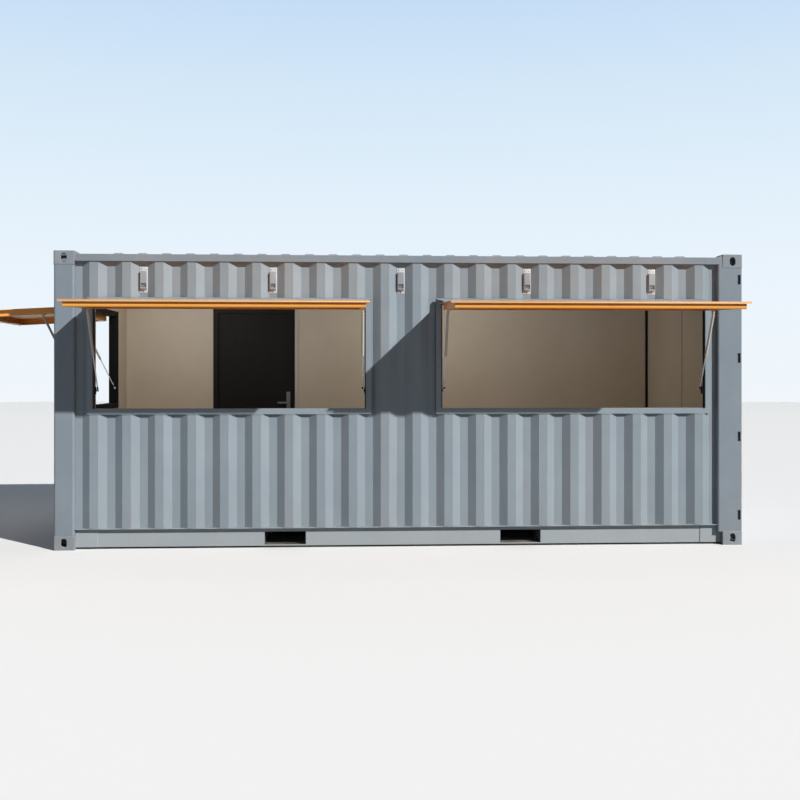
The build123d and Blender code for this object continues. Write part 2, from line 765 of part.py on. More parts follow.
def flap_frame(flap, width):
    """The folded frame inside the flap, its liner and the strut brackets."""
    half = width / 2 - flap_frame_gap
    x_outer = (-half, half)
    y_outer = (-frame_reach, -frame_start)
    x_inner = (-half + flap_frame_width, half - flap_frame_width)
    y_inner = (-frame_reach + flap_frame_width, -frame_start - flap_frame_width)
    wall = flap_frame_sheet
    box_on(flap, x_outer, y_outer, (-flap_frame_depth, -skin))
    under_liner = (-flap_frame_depth - past, -skin - flap_liner)
    box_on(flap, x_inner, y_inner, under_liner, mode=Mode.SUBTRACT)
    x_groove = (x_outer[0] + wall, x_outer[1] - wall)
    y_groove = (y_outer[0] + wall, y_outer[1] - wall)
    groove = (-flap_frame_depth + wall, -skin - wall)
    box_on(flap, x_groove, y_groove, groove, mode=Mode.SUBTRACT)
    for side in (-1, 1):
        eye = side * (width / 2 - strut_inset)
        lug = eye - side * (eye_thickness / 2 + eye_side_gap)
        lug_x = sorted((lug, lug - side * bracket_plate))
        with BuildSketch(across(flap, lug_x[1])) as tab:
            with Locations((-strut_head_depth, -strut_head_reach)):
                Circle(eye_radius)
            with Locations((-(flap_frame_depth + strut_head_depth) / 2, -strut_head_reach)):
                Rectangle(strut_head_depth - flap_frame_depth, 2 * eye_radius)
        extrude(tab.sketch, amount=bracket_plate)
        foot_x = sorted((lug, lug - side * bracket_foot))
        foot_y = (-strut_head_reach - eye_radius - bracket_toe, -strut_head_reach + eye_radius + bracket_toe)
        box_on(flap, foot_x, foot_y, (-flap_frame_depth - bracket_plate, -flap_frame_depth))
        stud_x = sorted((lug - side * past, lug + side * (eye_thickness + 2 * eye_side_gap)))
        bar_on(flap, stud_x, -strut_head_reach, -strut_head_depth, stud_radius)


def strut_ends(plane, width, side):
    """Where one strut's two pins are, on the jamb and under the open flap."""
    flap = flap_plane(plane)
    x = side * (width / 2 - strut_inset)
    foot = plane.origin + plane.x_dir * x + plane.y_dir * foot_up + plane.z_dir * foot_out
    head = flap.origin + flap.x_dir * x
    head = head - flap.z_dir * strut_head_depth - flap.y_dir * strut_head_reach
    return foot, head


def strut_eye(plane, centre, line):
    """The flat eye at a strut's end: a disc with a pin hole, and its shank."""
    base = centre - plane.x_dir * (eye_thickness / 2)
    with BuildSketch(Plane(base, x_dir=line, z_dir=plane.x_dir)) as eye:
        Circle(eye_radius)
        with Locations(((strut_neck + past) / 2, 0)):
            Rectangle(strut_neck + past, eye_shank)
        Circle(stud_radius + pin_clearance, mode=Mode.SUBTRACT)
    extrude(eye.sketch, amount=eye_thickness)


def strut_tubes(plane, width):
    """The thick upper halves, with the bore that each rod slides in."""
    for side in (-1, 1):
        foot, head = strut_ends(plane, width, side)
        line = (foot - head).normalized()
        strut_eye(plane, head, line)
        disc(Plane(head + line * strut_neck, z_dir=line), strut_tube_radius, strut_tube_length)
        bore_start = head + line * (strut_neck + strut_closed_end)
        bore_length = strut_tube_length - strut_closed_end + past
        bore_radius = strut_rod_radius + pin_clearance
        disc(Plane(bore_start, z_dir=line), bore_radius, bore_length, mode=Mode.SUBTRACT)


def strut_rods(plane, width):
    """The thin lower halves, which run up inside the tubes."""
    for side in (-1, 1):
        foot, head = strut_ends(plane, width, side)
        line = (head - foot).normalized()
        strut_eye(plane, foot, line)
        in_tube = strut_neck + strut_tube_length - strut_overlap
        rod_length = (head - foot).length - in_tube - strut_neck
        disc(Plane(foot + line * strut_neck, z_dir=line), strut_rod_radius, rod_length)


def drip_hood(plane, width):
    """A folded sheet over the hatch: a hidden flange, a slope and a lip."""
    half = width / 2 + hatch_jamb
    lip_top = frame_top - hood_drop
    lip_bottom = lip_top - hood_lip
    slope = hood_drop / hood_reach
    section = [(0, frame_top - hood_flange), (0, frame_top), (hood_reach, lip_top),
               (hood_reach, lip_bottom), (hood_reach - hood_fold, lip_bottom),
               (hood_reach - hood_fold, lip_top - hood_fold),
               (hood_fold, frame_top - hood_fold - slope * hood_fold),
               (hood_fold, frame_top - hood_flange)]
    prism(across(plane, half), section, 2 * half)
    level = Plane(plane.origin + plane.y_dir * lip_bottom, x_dir=plane.x_dir, z_dir=plane.y_dir)
    for side in (-1, 1):
        corner = [(side * (half - hood_bevel), -hood_reach - past), (side * (half + past), -hood_reach - past),
                  (side * (half + past), -hood_reach + hood_bevel)]
        prism(level.offset(-past), corner, hood_lip + hood_drop + 2 * past, mode=Mode.SUBTRACT)


front_depth = frame_outer - lining_face
hatches = {
    "left": (face_plane((-hatch_centre, -frame_outer, 0), (0, -1, 0)), hatch_width, front_depth),
    "right": (face_plane((hatch_centre, -frame_outer, 0), (0, -1, 0)), hatch_width, front_depth),
    "end": (face_plane((-end_frame_outer, 0, 0), (-1, 0, 0)), end_hatch_width,
            end_frame_outer - blind_lining_face),
}
for side, (plane, opening, depth) in hatches.items():
    flap = flap_plane(plane)
    with BuildPart() as frame:
        hatch_frame(plane, opening, depth)
    save(frame, side + "_hatch_frame")
    with BuildPart() as outer_sheet:
        flap_skin(flap, opening)
    save(outer_sheet, side + "_hatch_flap_skin")
    with BuildPart() as inner_frame:
        flap_frame(flap, opening)
    save(inner_frame, side + "_hatch_flap_frame")
    with BuildPart() as tubes:
        strut_tubes(plane, opening)
    save(tubes, side + "_hatch_strut_tubes")
    with BuildPart() as rods:
        strut_rods(plane, opening)
    save(rods, side + "_hatch_strut_rods")

with BuildPart() as hoods:
    for plane, opening, depth in hatches.values():
        drip_hood(plane, opening)
save(hoods, "drip_hoods")

# ---- personnel door in the back wall, which opens outwards
door_plane = face_plane((door_centre, frame_outer, 0), (0, 1, 0))
opening_x = (-half_opening, half_opening)
opening_y = (wall_bottom + threshold_height, door_opening_top)
frame_x = (-half_opening - door_member, half_opening + door_member)
door_depth = frame_outer - lining_face
leaf_x = (door_centre - leaf_width / 2, door_centre + leaf_width / 2)
leaf_outer = frame_outer - leaf_setback
leaf_inner = leaf_outer - leaf_thickness
stop_depth = leaf_inner - leaf_gap - lining_face
door_hinge_x = leaf_x[0] - leaf_gap / 2
door_hinge_y = frame_outer + door_hinge_out
door_hinge_heights = spread(leaf_z[0] + door_hinge_inset, leaf_z[1] - door_hinge_inset, door_hinges)
barrel_length = (hinge_length - fit_gap) / 2
with BuildPart() as door_frame:
    channel_ring(door_plane, (frame_x, (wall_bottom, door_outer_top)), (opening_x, opening_y),
                 door_depth, hatch_sheet)
    with BuildSketch(door_plane.offset(-door_depth)) as stop:
        with Locations((0, sum(opening_y) / 2)):
            Rectangle(2 * (half_opening + past), opening_y[1] - opening_y[0] + 2 * past)
            Rectangle(2 * (half_opening - door_stop), opening_y[1] - opening_y[0] - 2 * door_stop,
                      mode=Mode.SUBTRACT)
    extrude(stop.sketch, amount=stop_depth)
    for z in door_hinge_heights:
        low = z - hinge_length / 2
        disc(Plane((door_hinge_x, door_hinge_y, low)), hinge_radius, barrel_length)
        fixed_x = (door_centre - half_opening - hinge_leaf, door_hinge_x)
        block(fixed_x, (frame_outer, frame_outer + hinge_plate), (low, low + barrel_length))
save(door_frame, "personnel_door_frame")

with BuildPart() as leaf:
    block(leaf_x, (leaf_inner, leaf_outer), leaf_z)
    inside_x = (leaf_x[0] + leaf_sheet, leaf_x[1] - leaf_sheet)
    inside_z = (leaf_z[0] - past, leaf_z[1] - leaf_sheet)
    block(inside_x, (leaf_inner + leaf_sheet, leaf_outer - leaf_sheet), inside_z, mode=Mode.SUBTRACT)
    for z in door_hinge_heights:
        low = z + fit_gap / 2
        disc(Plane((door_hinge_x, door_hinge_y, low)), hinge_radius, barrel_length)
        moving_x = (door_hinge_x, leaf_x[0] + hinge_leaf)
        block(moving_x, (leaf_outer, frame_outer + hinge_plate), (low, low + barrel_length))
save(leaf, "personnel_door")

lever_x = leaf_x[1] - lever_inset
lever_z = leaf_z[0] + lever_height
with BuildPart() as levers:
    for face, outward in ((leaf_outer, 1), (leaf_inner, -1)):
        plate_x = (lever_x - lever_plate_width / 2, lever_x + lever_plate_width / 2)
        plate_z = (lever_z - lever_plate_drop, lever_z - lever_plate_drop + lever_plate_height)
        block(plate_x, sorted((face, face + outward * lever_plate)), plate_z)
        neck = Plane((lever_x, face, lever_z), x_dir=(1, 0, 0), z_dir=(0, outward, 0))
        disc(neck, lever_neck_radius, lever_reach - lever_grip / 2)
        with BuildSketch(neck.offset(lever_reach - lever_grip)) as grip:
            with Locations(((lever_grip_height - lever_length) / 2, 0)):
                SlotOverall(lever_length, lever_grip_height)
        extrude(grip.sketch, amount=lever_grip)
save(levers, "personnel_door_levers")

# ---- cargo doors: two closed leaves, their hinges, lock rods and lining
cargo_panel_z = (cargo_z[0] + cargo_frame, cargo_z[1] - cargo_frame)
cargo_pitch = (cargo_panel_z[1] - cargo_panel_z[0]) / cargo_waves


def cargo_leaf(side):
    """A welded tube frame round a corrugated sheet."""
    y_span = sorted((side * cargo_gap / 2, side * (wall_back - cargo_gap)))
    block((cargo_back, cargo_face), y_span, cargo_z)
    inner_y = (y_span[0] + cargo_frame, y_span[1] - cargo_frame)
    block((cargo_back - past, cargo_face + past), inner_y, cargo_panel_z, mode=Mode.SUBTRACT)
    line = wave_points(cargo_panel_z[0] - past, cargo_panel_z[1] + past, cargo_pitch, cargo_flat,
                       cargo_flank, cargo_wave_depth, cargo_panel_z[0] + cargo_pitch / 2)
    points = [(cargo_face - x, z) for z, x in wave_sheet(line)]
    prism(Plane.XZ.offset(-inner_y[1] - past), points, inner_y[1] - inner_y[0] + 2 * past)


for name, side in (("left_cargo_door", 1), ("right_cargo_door", -1)):
    with BuildPart() as cargo_door:
        cargo_leaf(side)
    save(cargo_door, name)

rod_x = cargo_face + lock_rod_radius + lock_rod_gap
rod_z = (lock_rod_low, rail_top - lock_rod_high_gap)


def rod_guide(y, z):
    """A hat-shaped strap that holds a rod to a rib of the door."""
    inner = lock_rod_radius + fit_gap
    outer = inner + guide_strap
    foot = outer + guide_foot
    top = rod_x + inner
    half = [(cargo_face, foot), (cargo_face + guide_strap, foot), (cargo_face + guide_strap, outer),
            (top + guide_strap, outer)]
    inside = [(top, inner), (cargo_face, inner)]
    points = ([(x, y + away) for x, away in half] + [(x, y - away) for x, away in reversed(half)]
              + [(x, y - away) for x, away in reversed(inside)] + [(x, y + away) for x, away in inside])
    prism(Plane.XY.offset(z - guide_height / 2), points, guide_height)


def lock_rod(y, outward, handle_z):
    """One rod, with a cam at each end in its keeper, a handle and its catch."""
    disc(Plane((rod_x, y, rod_z[0])), lock_rod_radius, rod_z[1] - rod_z[0])
    half_cam = cam_width / 2
    for low in (rod_z[0], rod_z[1] - cam_height):
        block((door_frame_x[1] + fit_gap, rod_x), (y - half_cam, y + half_cam), (low, low + cam_height))
        for side in (-1, 1):
            cheek = y + side * (half_cam + fit_gap)
            cheek_y = sorted((cheek, cheek + side * keeper_width))
            block((door_frame_x[1], rod_x), cheek_y, (low, low + cam_height))
    for count in guide_ribs:
        rod_guide(y, cargo_panel_z[0] + count * cargo_pitch)
    handle_y = sorted((y, y + outward * handle_length))
    handle_x = (rod_x - handle_thickness / 2, rod_x + handle_thickness / 2)
    span_z = (handle_z - handle_height / 2, handle_z + handle_height / 2)
    block(handle_x, handle_y, span_z)
    catch_y = sorted((y + outward * handle_length, y + outward * (handle_length - catch_width)))
    block((cargo_face, handle_x[0] - fit_gap), catch_y, span_z)


with BuildPart() as lock_gear:
    handle_middle = cargo_panel_z[0] + handle_rib * cargo_pitch
    for side in (-1, 1):
        lock_rod(side * lock_rod_from_middle, side, handle_middle - handle_offset)
        lock_rod(side * (wall_back - lock_rod_from_post), -side, handle_middle + handle_offset)
save(lock_gear, "cargo_door_lock_rods")

with BuildPart() as cargo_hinges:
    for side in (-1, 1):
        pin_y = side * (wall_back + cargo_hinge_set)
        tip_y = side * (wall_back - cargo_hinge_blade)
        for z in cargo_hinge_heights:
            barrel = hinge_notch_height - 2 * fit_gap
            disc(Plane((notch_x, pin_y, z - barrel / 2)), cargo_hinge_radius, barrel)
            blade = [(pin_y, z - cargo_hinge_half), (pin_y, z + cargo_hinge_half),
                     (tip_y, z + cargo_hinge_tip), (tip_y, z - cargo_hinge_tip)]
            prism(Plane.YZ.offset(cargo_face), blade, cargo_hinge_plate)
            web_y = sorted((pin_y, pin_y - side * cargo_hinge_plate))
            block((cargo_face, notch_x), web_y, (z - cargo_hinge_half, z + cargo_hinge_half))
save(cargo_hinges, "cargo_door_hinges")

with BuildPart() as door_lining_boards:
    for side in (-1, 1):
        y_span = sorted((side * cargo_gap / 2, side * (lining_face - gap)))
        lining_z = (deck_top + cargo_gap, ceiling_height - cargo_gap)
        block((cargo_back - door_lining, cargo_back), y_span, lining_z)
save(door_lining_boards, "cargo_door_lining")

# ---- vents on the inner flats of the long walls
vent_seat = wall_face - wave_depth
vent_middle = rail_bottom - vent_drop
vent_low = vent_middle - vent_height / 2
vent_high = vent_middle + vent_height / 2


def vent(side, x):
    """A folded box with a slot low in its front, on a plate with two flanges."""
    half = vent_width / 2
    front = vent_seat + vent_depth
    outline = [(x - vent_base / 2, side * vent_seat), (x - half, side * (vent_seat + vent_step)),
               (x - half, side * front), (x + half, side * front),
               (x + half, side * (vent_seat + vent_step)), (x + vent_base / 2, side * vent_seat)]
    prism(Plane.XY.offset(vent_low), outline, vent_height)
    plate_y = sorted((side * vent_seat, side * (vent_seat + vent_flange_sheet)))
    plate_z = (vent_low - vent_flange, vent_high + vent_flange)
    block((x - vent_base / 2, x + vent_base / 2), plate_y, plate_z)
    inside_x = (x - half + vent_sheet, x + half - vent_sheet)
    inside_y = sorted((side * (vent_seat + vent_step), side * (front - vent_sheet)))
    inside_z = (vent_low + vent_sheet, vent_high - vent_sheet)
    block(inside_x, inside_y, inside_z, mode=Mode.SUBTRACT)
    slot_y = sorted((side * (front - vent_sheet - past), side * (front + past)))
    slot_low = vent_low + vent_slot_rise
    block((x - vent_slot_width / 2, x + vent_slot_width / 2), slot_y,
          (slot_low, slot_low + vent_slot_height), mode=Mode.SUBTRACT)


with BuildPart() as vents:
    for side, waves in ((-1, front_vents), (1, back_vents)):
        for count in waves:
            vent(side, wave_centre + count * wave_pitch)
save(vents, "wall_vents")
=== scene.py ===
# %% [markdown]
# # A shipping container cabin with serving hatches
# This lesson dresses a freight container that has become a serving cabin. Its walls, posts, flaps and doors come
# packed as a frame of bodies and nodes, already in their real places, in metres. Blender adds what a paint shop and
# a fitter would: light, the finishes, then the welds, seals, bolts and screws that hold the cabin together.
# The frame is loaded first, because every later piece takes its place from it.

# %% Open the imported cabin
import math
import bmesh
import bpy
from mathutils import Matrix, Vector


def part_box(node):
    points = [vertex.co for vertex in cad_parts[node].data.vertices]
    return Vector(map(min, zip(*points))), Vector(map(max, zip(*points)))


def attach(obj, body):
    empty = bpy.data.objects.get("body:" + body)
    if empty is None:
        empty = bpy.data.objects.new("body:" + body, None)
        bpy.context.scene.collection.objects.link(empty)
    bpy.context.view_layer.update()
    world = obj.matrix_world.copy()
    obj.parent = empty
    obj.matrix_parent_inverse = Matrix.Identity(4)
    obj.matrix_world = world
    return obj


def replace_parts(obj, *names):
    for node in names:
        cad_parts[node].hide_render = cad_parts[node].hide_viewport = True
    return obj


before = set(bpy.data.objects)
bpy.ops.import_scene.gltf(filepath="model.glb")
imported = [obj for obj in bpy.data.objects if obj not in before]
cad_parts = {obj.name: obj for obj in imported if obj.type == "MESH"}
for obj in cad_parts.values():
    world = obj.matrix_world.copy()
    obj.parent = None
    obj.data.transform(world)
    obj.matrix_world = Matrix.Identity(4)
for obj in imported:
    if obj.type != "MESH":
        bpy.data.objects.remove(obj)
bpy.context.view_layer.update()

scene = bpy.context.scene
scene.view_settings.view_transform = "Standard"

# %% [markdown]
# ## The camera
# Somebody stands about eight metres in front of the cabin, a little left of its middle, and looks at the serving
# side at eye height. A camera that stays level and uses a lens shift keeps the corner posts upright, as an
# architect's camera does, so the shift frames the cabin instead of a tilt.

# %% Stand in front of the serving side
def put_in_scene(name, data, place, turn):
    """An object for a camera or a lamp, placed and turned."""
    stand = bpy.data.objects.new(name, data)
    stand.location, stand.rotation_euler = place, turn
    scene.collection.objects.link(stand)
    return stand


camera = bpy.data.cameras.new("serving_side_camera")
camera.lens = 43.1
camera.sensor_width = 36.0
camera.shift_x = 0.0039
camera.shift_y = -0.0295
level_and_turned = (math.radians(90), 0, math.radians(-2.79))
scene.camera = put_in_scene("serving_side_camera", camera, (-0.470, -9.614, 1.503), level_and_turned)
print("camera", camera.lens, "mm")

# %% [markdown]
# ## Small tools for node trees
# A finish is a tree of nodes, and writing each node in full hides the idea behind the typing. Short helpers
# keep the recipes readable: one turns the 0 to 255 colours of a paint card into the linear values that nodes
# expect, and one adds a node together with its settings and its links. The others name the sums and the patches of
# noise that come back in most recipes.

# %% Paint card colours and a node helper
def paint_card(red, green, blue):
    """A colour as on a paint card, 0 to 255, turned into the linear colour that nodes use."""
    linear = [v / 255 / 12.92 if v <= 10 else ((v / 255 + 0.055) / 1.055) ** 2.4 for v in (red, green, blue)]
    return (*linear, 1.0)


def add_node(tree, kind, inputs=None, **settings):
    """A new node. An input is given a value, or another node's output to link from."""
    made = tree.nodes.new(kind)
    for name, value in settings.items():
        setattr(made, name, value)
    for key, value in (inputs or {}).items():
        if isinstance(value, bpy.types.NodeSocket):
            tree.links.new(value, made.inputs[key])
        else:
            made.inputs[key].default_value = value
    return made


def calculate(tree, operation, first, second=0.5, third=0.5):
    """The result of one Math node."""
    return add_node(tree, "ShaderNodeMath", {0: first, 1: second, 2: third}, operation=operation).outputs[0]


def between(tree, value, low, high, to_low=0.0, to_high=1.0):
    """A value in a range, stretched to another range and kept within it."""
    inputs = {"Value": value, "From Min": low, "From Max": high, "To Min": to_low, "To Max": to_high}
    return add_node(tree, "ShaderNodeMapRange", inputs).outputs[0]


def blend_colours(tree, amount, first, second):
    """Two colours mixed by an amount."""
    return add_node(tree, "ShaderNodeMix", {0: amount, 6: first, 7: second}, data_type="RGBA").outputs[2]


def cloudy(tree, stretch, detail=3.0, roughness=0.55):
    """Noise on the piece's own coordinates, with a scale for each direction."""
    where = add_node(tree, "ShaderNodeTexCoord").outputs["Object"]
    mapped = add_node(tree, "ShaderNodeMapping", {"Vector": where, "Scale": stretch})
    inputs = {"Vector": mapped.outputs[0], "Scale": 1.0, "Detail": detail, "Roughness": roughness}
    return add_node(tree, "ShaderNodeTexNoise", inputs).outputs[0]


def patches(tree, stretch, low, high, detail=3.0, roughness=0.55):
    """A mask of 0 to 1: that noise, stretched between two of its levels."""
    return between(tree, cloudy(tree, stretch, detail, roughness), low, high)


def times(tree, first, second):
    """Two values, or masks, multiplied."""
    return calculate(tree, "MULTIPLY", first, second)


print("light grey card", [round(v, 3) for v in paint_card(200, 200, 200)])

# %% [markdown]
# ## Daylight in a studio
# The cabin stands in low sun that comes from the right and throws the flaps' shadows down the wall. One sun lamp
# does that, with a disc a little wider than the real one, so that the shadow edges are not hard. The sky only fills
# the shadows, so for most rays it is dim, and it is brighter behind the cabin so that the far side isn't lost in the
# dark. Rays from the camera, and rays that metal or glass sends out, see the pale sky itself instead.

# %% Sun, and a sky that is pale to look at
sun = bpy.data.lights.new("low_sun", "SUN")
sun.energy = 4.45
sun.color = (1.0, 0.985, 0.96)
sun.angle = math.radians(1.0)
put_in_scene("low_sun", sun, (0, 0, 0), Vector((0.95, -0.92, 0.85)).to_track_quat("Z", "Y").to_euler())


def seen_directly(tree):
    """1 for rays from the camera, and for rays that shiny metal or glass sends out."""
    path = add_node(tree, "ShaderNodeLightPath").outputs
    shiny = calculate(tree, "ADD", path["Is Glossy Ray"], path["Is Transmission Ray"])
    total = calculate(tree, "ADD", path["Is Camera Ray"], shiny)
    return calculate(tree, "MINIMUM", total, 1.0)


sky = bpy.data.worlds.new("pale_sky")
scene.world = sky
sky.use_nodes = True
tree = sky.node_tree
tree.nodes.clear()
direction = add_node(tree, "ShaderNodeTexCoord").outputs["Generated"]
height_in_sky = add_node(tree, "ShaderNodeSeparateXYZ", {0: direction}).outputs["Z"]
fade = add_node(tree, "ShaderNodeValToRGB", {0: between(tree, height_in_sky, -0.02, 0.38)})
steps = fade.color_ramp.elements
steps[0].color = paint_card(240, 246, 251)
steps[1].color = paint_card(194, 219, 246)
for place, colour in ((0.25, (236, 245, 253)), (0.50, (226, 240, 251)), (0.75, (213, 232, 248))):
    steps.new(place).color = paint_card(*colour)
looked_at = add_node(tree, "ShaderNodeBackground", {0: fade.outputs[0], 1: 1.0})
behind = add_node(tree, "ShaderNodeSeparateXYZ", {0: direction}).outputs["Y"]
fill_strength = between(tree, behind, 0.0, 1.0, 0.08, 0.55)
filling = add_node(tree, "ShaderNodeBackground", {0: paint_card(225, 235, 250), 1: fill_strength})
sky_mix = add_node(tree, "ShaderNodeMixShader",
                   {0: seen_directly(tree), 1: filling.outputs[0], 2: looked_at.outputs[0]})
add_node(tree, "ShaderNodeOutputWorld", {0: sky_mix.outputs[0]})
print("sky steps", len(steps))

# %% [markdown]
# ## Soft lamps inside the cabin
# Through the hatches the cream lining is seen in its own shade, lit by daylight that has bounced in from the
# ground. Following every such bounce takes many samples. Two long, weak area lamps under the ceiling give the same
# shade at once, and they hang too high to be seen from outside. The one at the blind end has more light to a metre,
# so that the shade deepens towards the cargo doors.

# %% Light that has bounced in
lamp_depth, lamp_width = -0.4, 0.12
lamp_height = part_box("ceiling_lining")[0].z - 0.10
for name, middle, length, energy, along in (("daylight_at_the_blind_end", -2.2, 1.2, 7.1, -0.1),
                                            ("daylight_in_the_middle", 0.4, 1.6, 7.2, 0.35)):
    panel = bpy.data.lights.new(name, "AREA")
    panel.shape, panel.size, panel.size_y = "RECTANGLE", length, lamp_width
    panel.energy, panel.color = energy, (1.0, 0.96, 0.90)
    facing = Vector((along, 1, -0.5)).to_track_quat("-Z", "Y").to_euler()
    lamp = put_in_scene(name, panel, (middle, lamp_depth, lamp_height), facing)
    print(name, "at", tuple(round(v, 2) for v in lamp.location))

# %% [markdown]
# ## The floor
# The cabin stands on a plain pale floor that ends at a far, level horizon. A wide disc does it: one circle, filled.
# To the camera it is nearly white, while the light that it throws back up under the flaps is that of plain ground,
# which is darker. Close to the sunlit wall the ground gets light from two sides, so the colour there is a little
# deeper, and a ramp along the depth of the floor sets it.

# %% A plain pale floor
def as_mesh(shape, name):
    """The mesh of a finished bmesh shape, which is then let go."""
    mesh = bpy.data.meshes.new(name)
    shape.to_mesh(mesh)
    shape.free()
    return mesh


horizon_distance = 51.4
bare = bmesh.new()
bmesh.ops.create_circle(bare, cap_ends=True, segments=256, radius=horizon_distance)
floor = bpy.data.objects.new("plain_floor", as_mesh(bare, "plain_floor"))
scene.collection.objects.link(floor)
pale = bpy.data.materials.new("pale_ground")
pale.use_nodes = True
tree = pale.node_tree
where = add_node(tree, "ShaderNodeTexCoord").outputs["Object"]
depth = add_node(tree, "ShaderNodeSeparateXYZ", {0: where}).outputs["Y"]
shade = add_node(tree, "ShaderNodeValToRGB", {0: between(tree, depth, -9.0, 41.0)})
stops = shade.color_ramp.elements
stops[0].color = paint_card(253, 253, 253)
stops[1].color = paint_card(238, 240, 239)
for place, level in ((0.09, 255), (0.125, 255), (0.155, 246), (0.25, 246)):
    stops.new(place).color = paint_card(level, level, level)
ground = blend_colours(tree, seen_directly(tree), paint_card(138, 142, 147), shade.outputs[0])
shader = tree.nodes["Principled BSDF"]
shader.inputs["Roughness"].default_value = 0.95
shader.inputs["Specular IOR Level"].default_value = 0.1
tree.links.new(ground, shader.inputs["Base Color"])
floor.data.materials.append(pale)
print("floor radius", horizon_distance)

# %% [markdown]
# ## An effect for every pressed sheet: soft bends and orange peel
# No steel sheet has knife-sharp bends, and sprayed enamel dries with a faint ripple that painters call orange peel.
# The Bevel node rounds the light over an edge without new faces, and noise in a Bump node gives the ripple. Where
# the rounded normal leaves the flat one there is an edge, so the same node also tells where paint gets rubbed.
# All the metals use it, so it is a node group with its own inputs.

# %% Group: soft edges
def new_group(name, inputs, outputs):
    """An empty shader node group with named sockets, and its input and output nodes."""
    group = bpy.data.node_groups.new(name, "ShaderNodeTree")
    kinds = {"value": "NodeSocketFloat", "colour": "NodeSocketColor", "vector": "NodeSocketVector"}
    for socket_name, kind, value in inputs:
        made = group.interface.new_socket(name=socket_name, in_out="INPUT", socket_type=kinds[kind])
        made.default_value = value
    for socket_name, kind in outputs:
        group.interface.new_socket(name=socket_name, in_out="OUTPUT", socket_type=kinds[kind])
    return group, group.nodes.new("NodeGroupInput").outputs, group.nodes.new("NodeGroupOutput").inputs


soft_edges, given, result = new_group(
    "soft_edges",
    [("Radius", "value", 0.003), ("Peel Size", "value", 260.0), ("Peel", "value", 0.2), ("Dents", "value", 0.0)],
    [("Normal", "vector"), ("Edge", "value")])
rounded = add_node(soft_edges, "ShaderNodeBevel", {"Radius": given["Radius"]}, samples=6)
flat_normal = add_node(soft_edges, "ShaderNodeNewGeometry").outputs["Normal"]
alike = add_node(soft_edges, "ShaderNodeVectorMath", {0: rounded.outputs[0], 1: flat_normal}, operation="DOT_PRODUCT")
turned = between(soft_edges, alike.outputs["Value"], 0.985, 0.86)
patchy = patches(soft_edges, (9.0, 9.0, 9.0), 0.42, 0.62, 4.0)
soft_edges.links.new(times(soft_edges, turned, patchy), result["Edge"])
where = add_node(soft_edges, "ShaderNodeTexCoord").outputs["Object"]
peel = add_node(soft_edges, "ShaderNodeTexNoise", {"Vector": where, "Scale": given["Peel Size"], "Detail": 1.0})
dents = cloudy(soft_edges, (2.6, 2.6, 2.6), 2.0, 0.4)
dented = add_node(soft_edges, "ShaderNodeBump", {"Strength": given["Dents"], "Distance": 0.02, "Height": dents,
                                                 "Normal": rounded.outputs[0]})
rippled = add_node(soft_edges, "ShaderNodeBump", {"Strength": given["Peel"], "Distance": 0.0006,
                                                  "Height": peel.outputs[0], "Normal": dented.outputs[0]})
soft_edges.links.new(rippled.outputs[0], result["Normal"])
print("group", soft_edges.name, "nodes", len(soft_edges.nodes))

# %% [markdown]
# ## An effect for every coat: fading, rain streaks and dust
# Enamel that has stood outdoors chalks in slow clouds, rain draws upright streaks down it, and dust settles low
# on the walls and on whatever faces up. Each is a mask: broad noise for the clouds, noise stretched tall for the
# streaks, and height and the upward part of the normal for the dust. One group mixes them over any coat.

# %% Group: aged coat
aged_coat, given, result = new_group(
    "aged_coat",
    [("Coat", "colour", (0.3, 0.3, 0.3, 1)), ("Chalk", "colour", (0.5, 0.5, 0.5, 1)),
     ("Dust", "colour", (0.4, 0.36, 0.3, 1)), ("Chalking", "value", 0.4), ("Streaks", "value", 0.3),
     ("Dust Cover", "value", 0.3), ("Rubbed", "value", 0.4), ("Edge", "value", 0.0), ("Roughness", "value", 0.45)],
    [("Color", "colour"), ("Roughness", "value")])
clouds = patches(aged_coat, (0.8, 0.8, 0.8), 0.35, 0.68, 5.0)
mottle = patches(aged_coat, (7.0, 7.0, 4.0), 0.40, 0.70, 4.0)
chalked = times(aged_coat, calculate(aged_coat, "MULTIPLY_ADD", mottle, 0.5, clouds), given["Chalking"])
broad = patches(aged_coat, (7.0, 7.0, 0.28), 0.50, 0.72)
fine = patches(aged_coat, (42.0, 42.0, 1.1), 0.48, 0.72)
streaks = times(aged_coat, calculate(aged_coat, "MULTIPLY_ADD", fine, 0.6, broad), given["Streaks"])
where = add_node(aged_coat, "ShaderNodeTexCoord").outputs
height = add_node(aged_coat, "ShaderNodeSeparateXYZ", {0: where["Object"]}).outputs["Z"]
upward = add_node(aged_coat, "ShaderNodeSeparateXYZ", {0: where["Normal"]}).outputs["Z"]
low_dust = between(aged_coat, height, 0.55, 0.0, 0.0, 0.8)
ledge_dust = between(aged_coat, upward, 0.55, 0.95)
grit = patches(aged_coat, (3.5, 3.5, 3.5), 0.35, 0.62, 6.0, 0.65)
dusty = times(aged_coat, calculate(aged_coat, "MAXIMUM", low_dust, ledge_dust), grit)
dust_cover = times(aged_coat, dusty, given["Dust Cover"])
coat = blend_colours(aged_coat, chalked, given["Coat"], given["Chalk"])
coat = blend_colours(aged_coat, streaks, coat, given["Dust"])
coat = blend_colours(aged_coat, dust_cover, coat, given["Dust"])
rubbed = times(aged_coat, given["Edge"], given["Rubbed"])
coat = blend_colours(aged_coat, rubbed, coat, given["Chalk"])
aged_coat.links.new(coat, result["Color"])
rougher = calculate(aged_coat, "MULTIPLY_ADD", dust_cover, 0.4, given["Roughness"])
rougher = calculate(aged_coat, "MULTIPLY_ADD", chalked, 0.12, rougher)
aged_coat.links.new(calculate(aged_coat, "MINIMUM", rougher, 0.95), result["Roughness"])
print("group", aged_coat.name, "nodes", len(aged_coat.nodes))

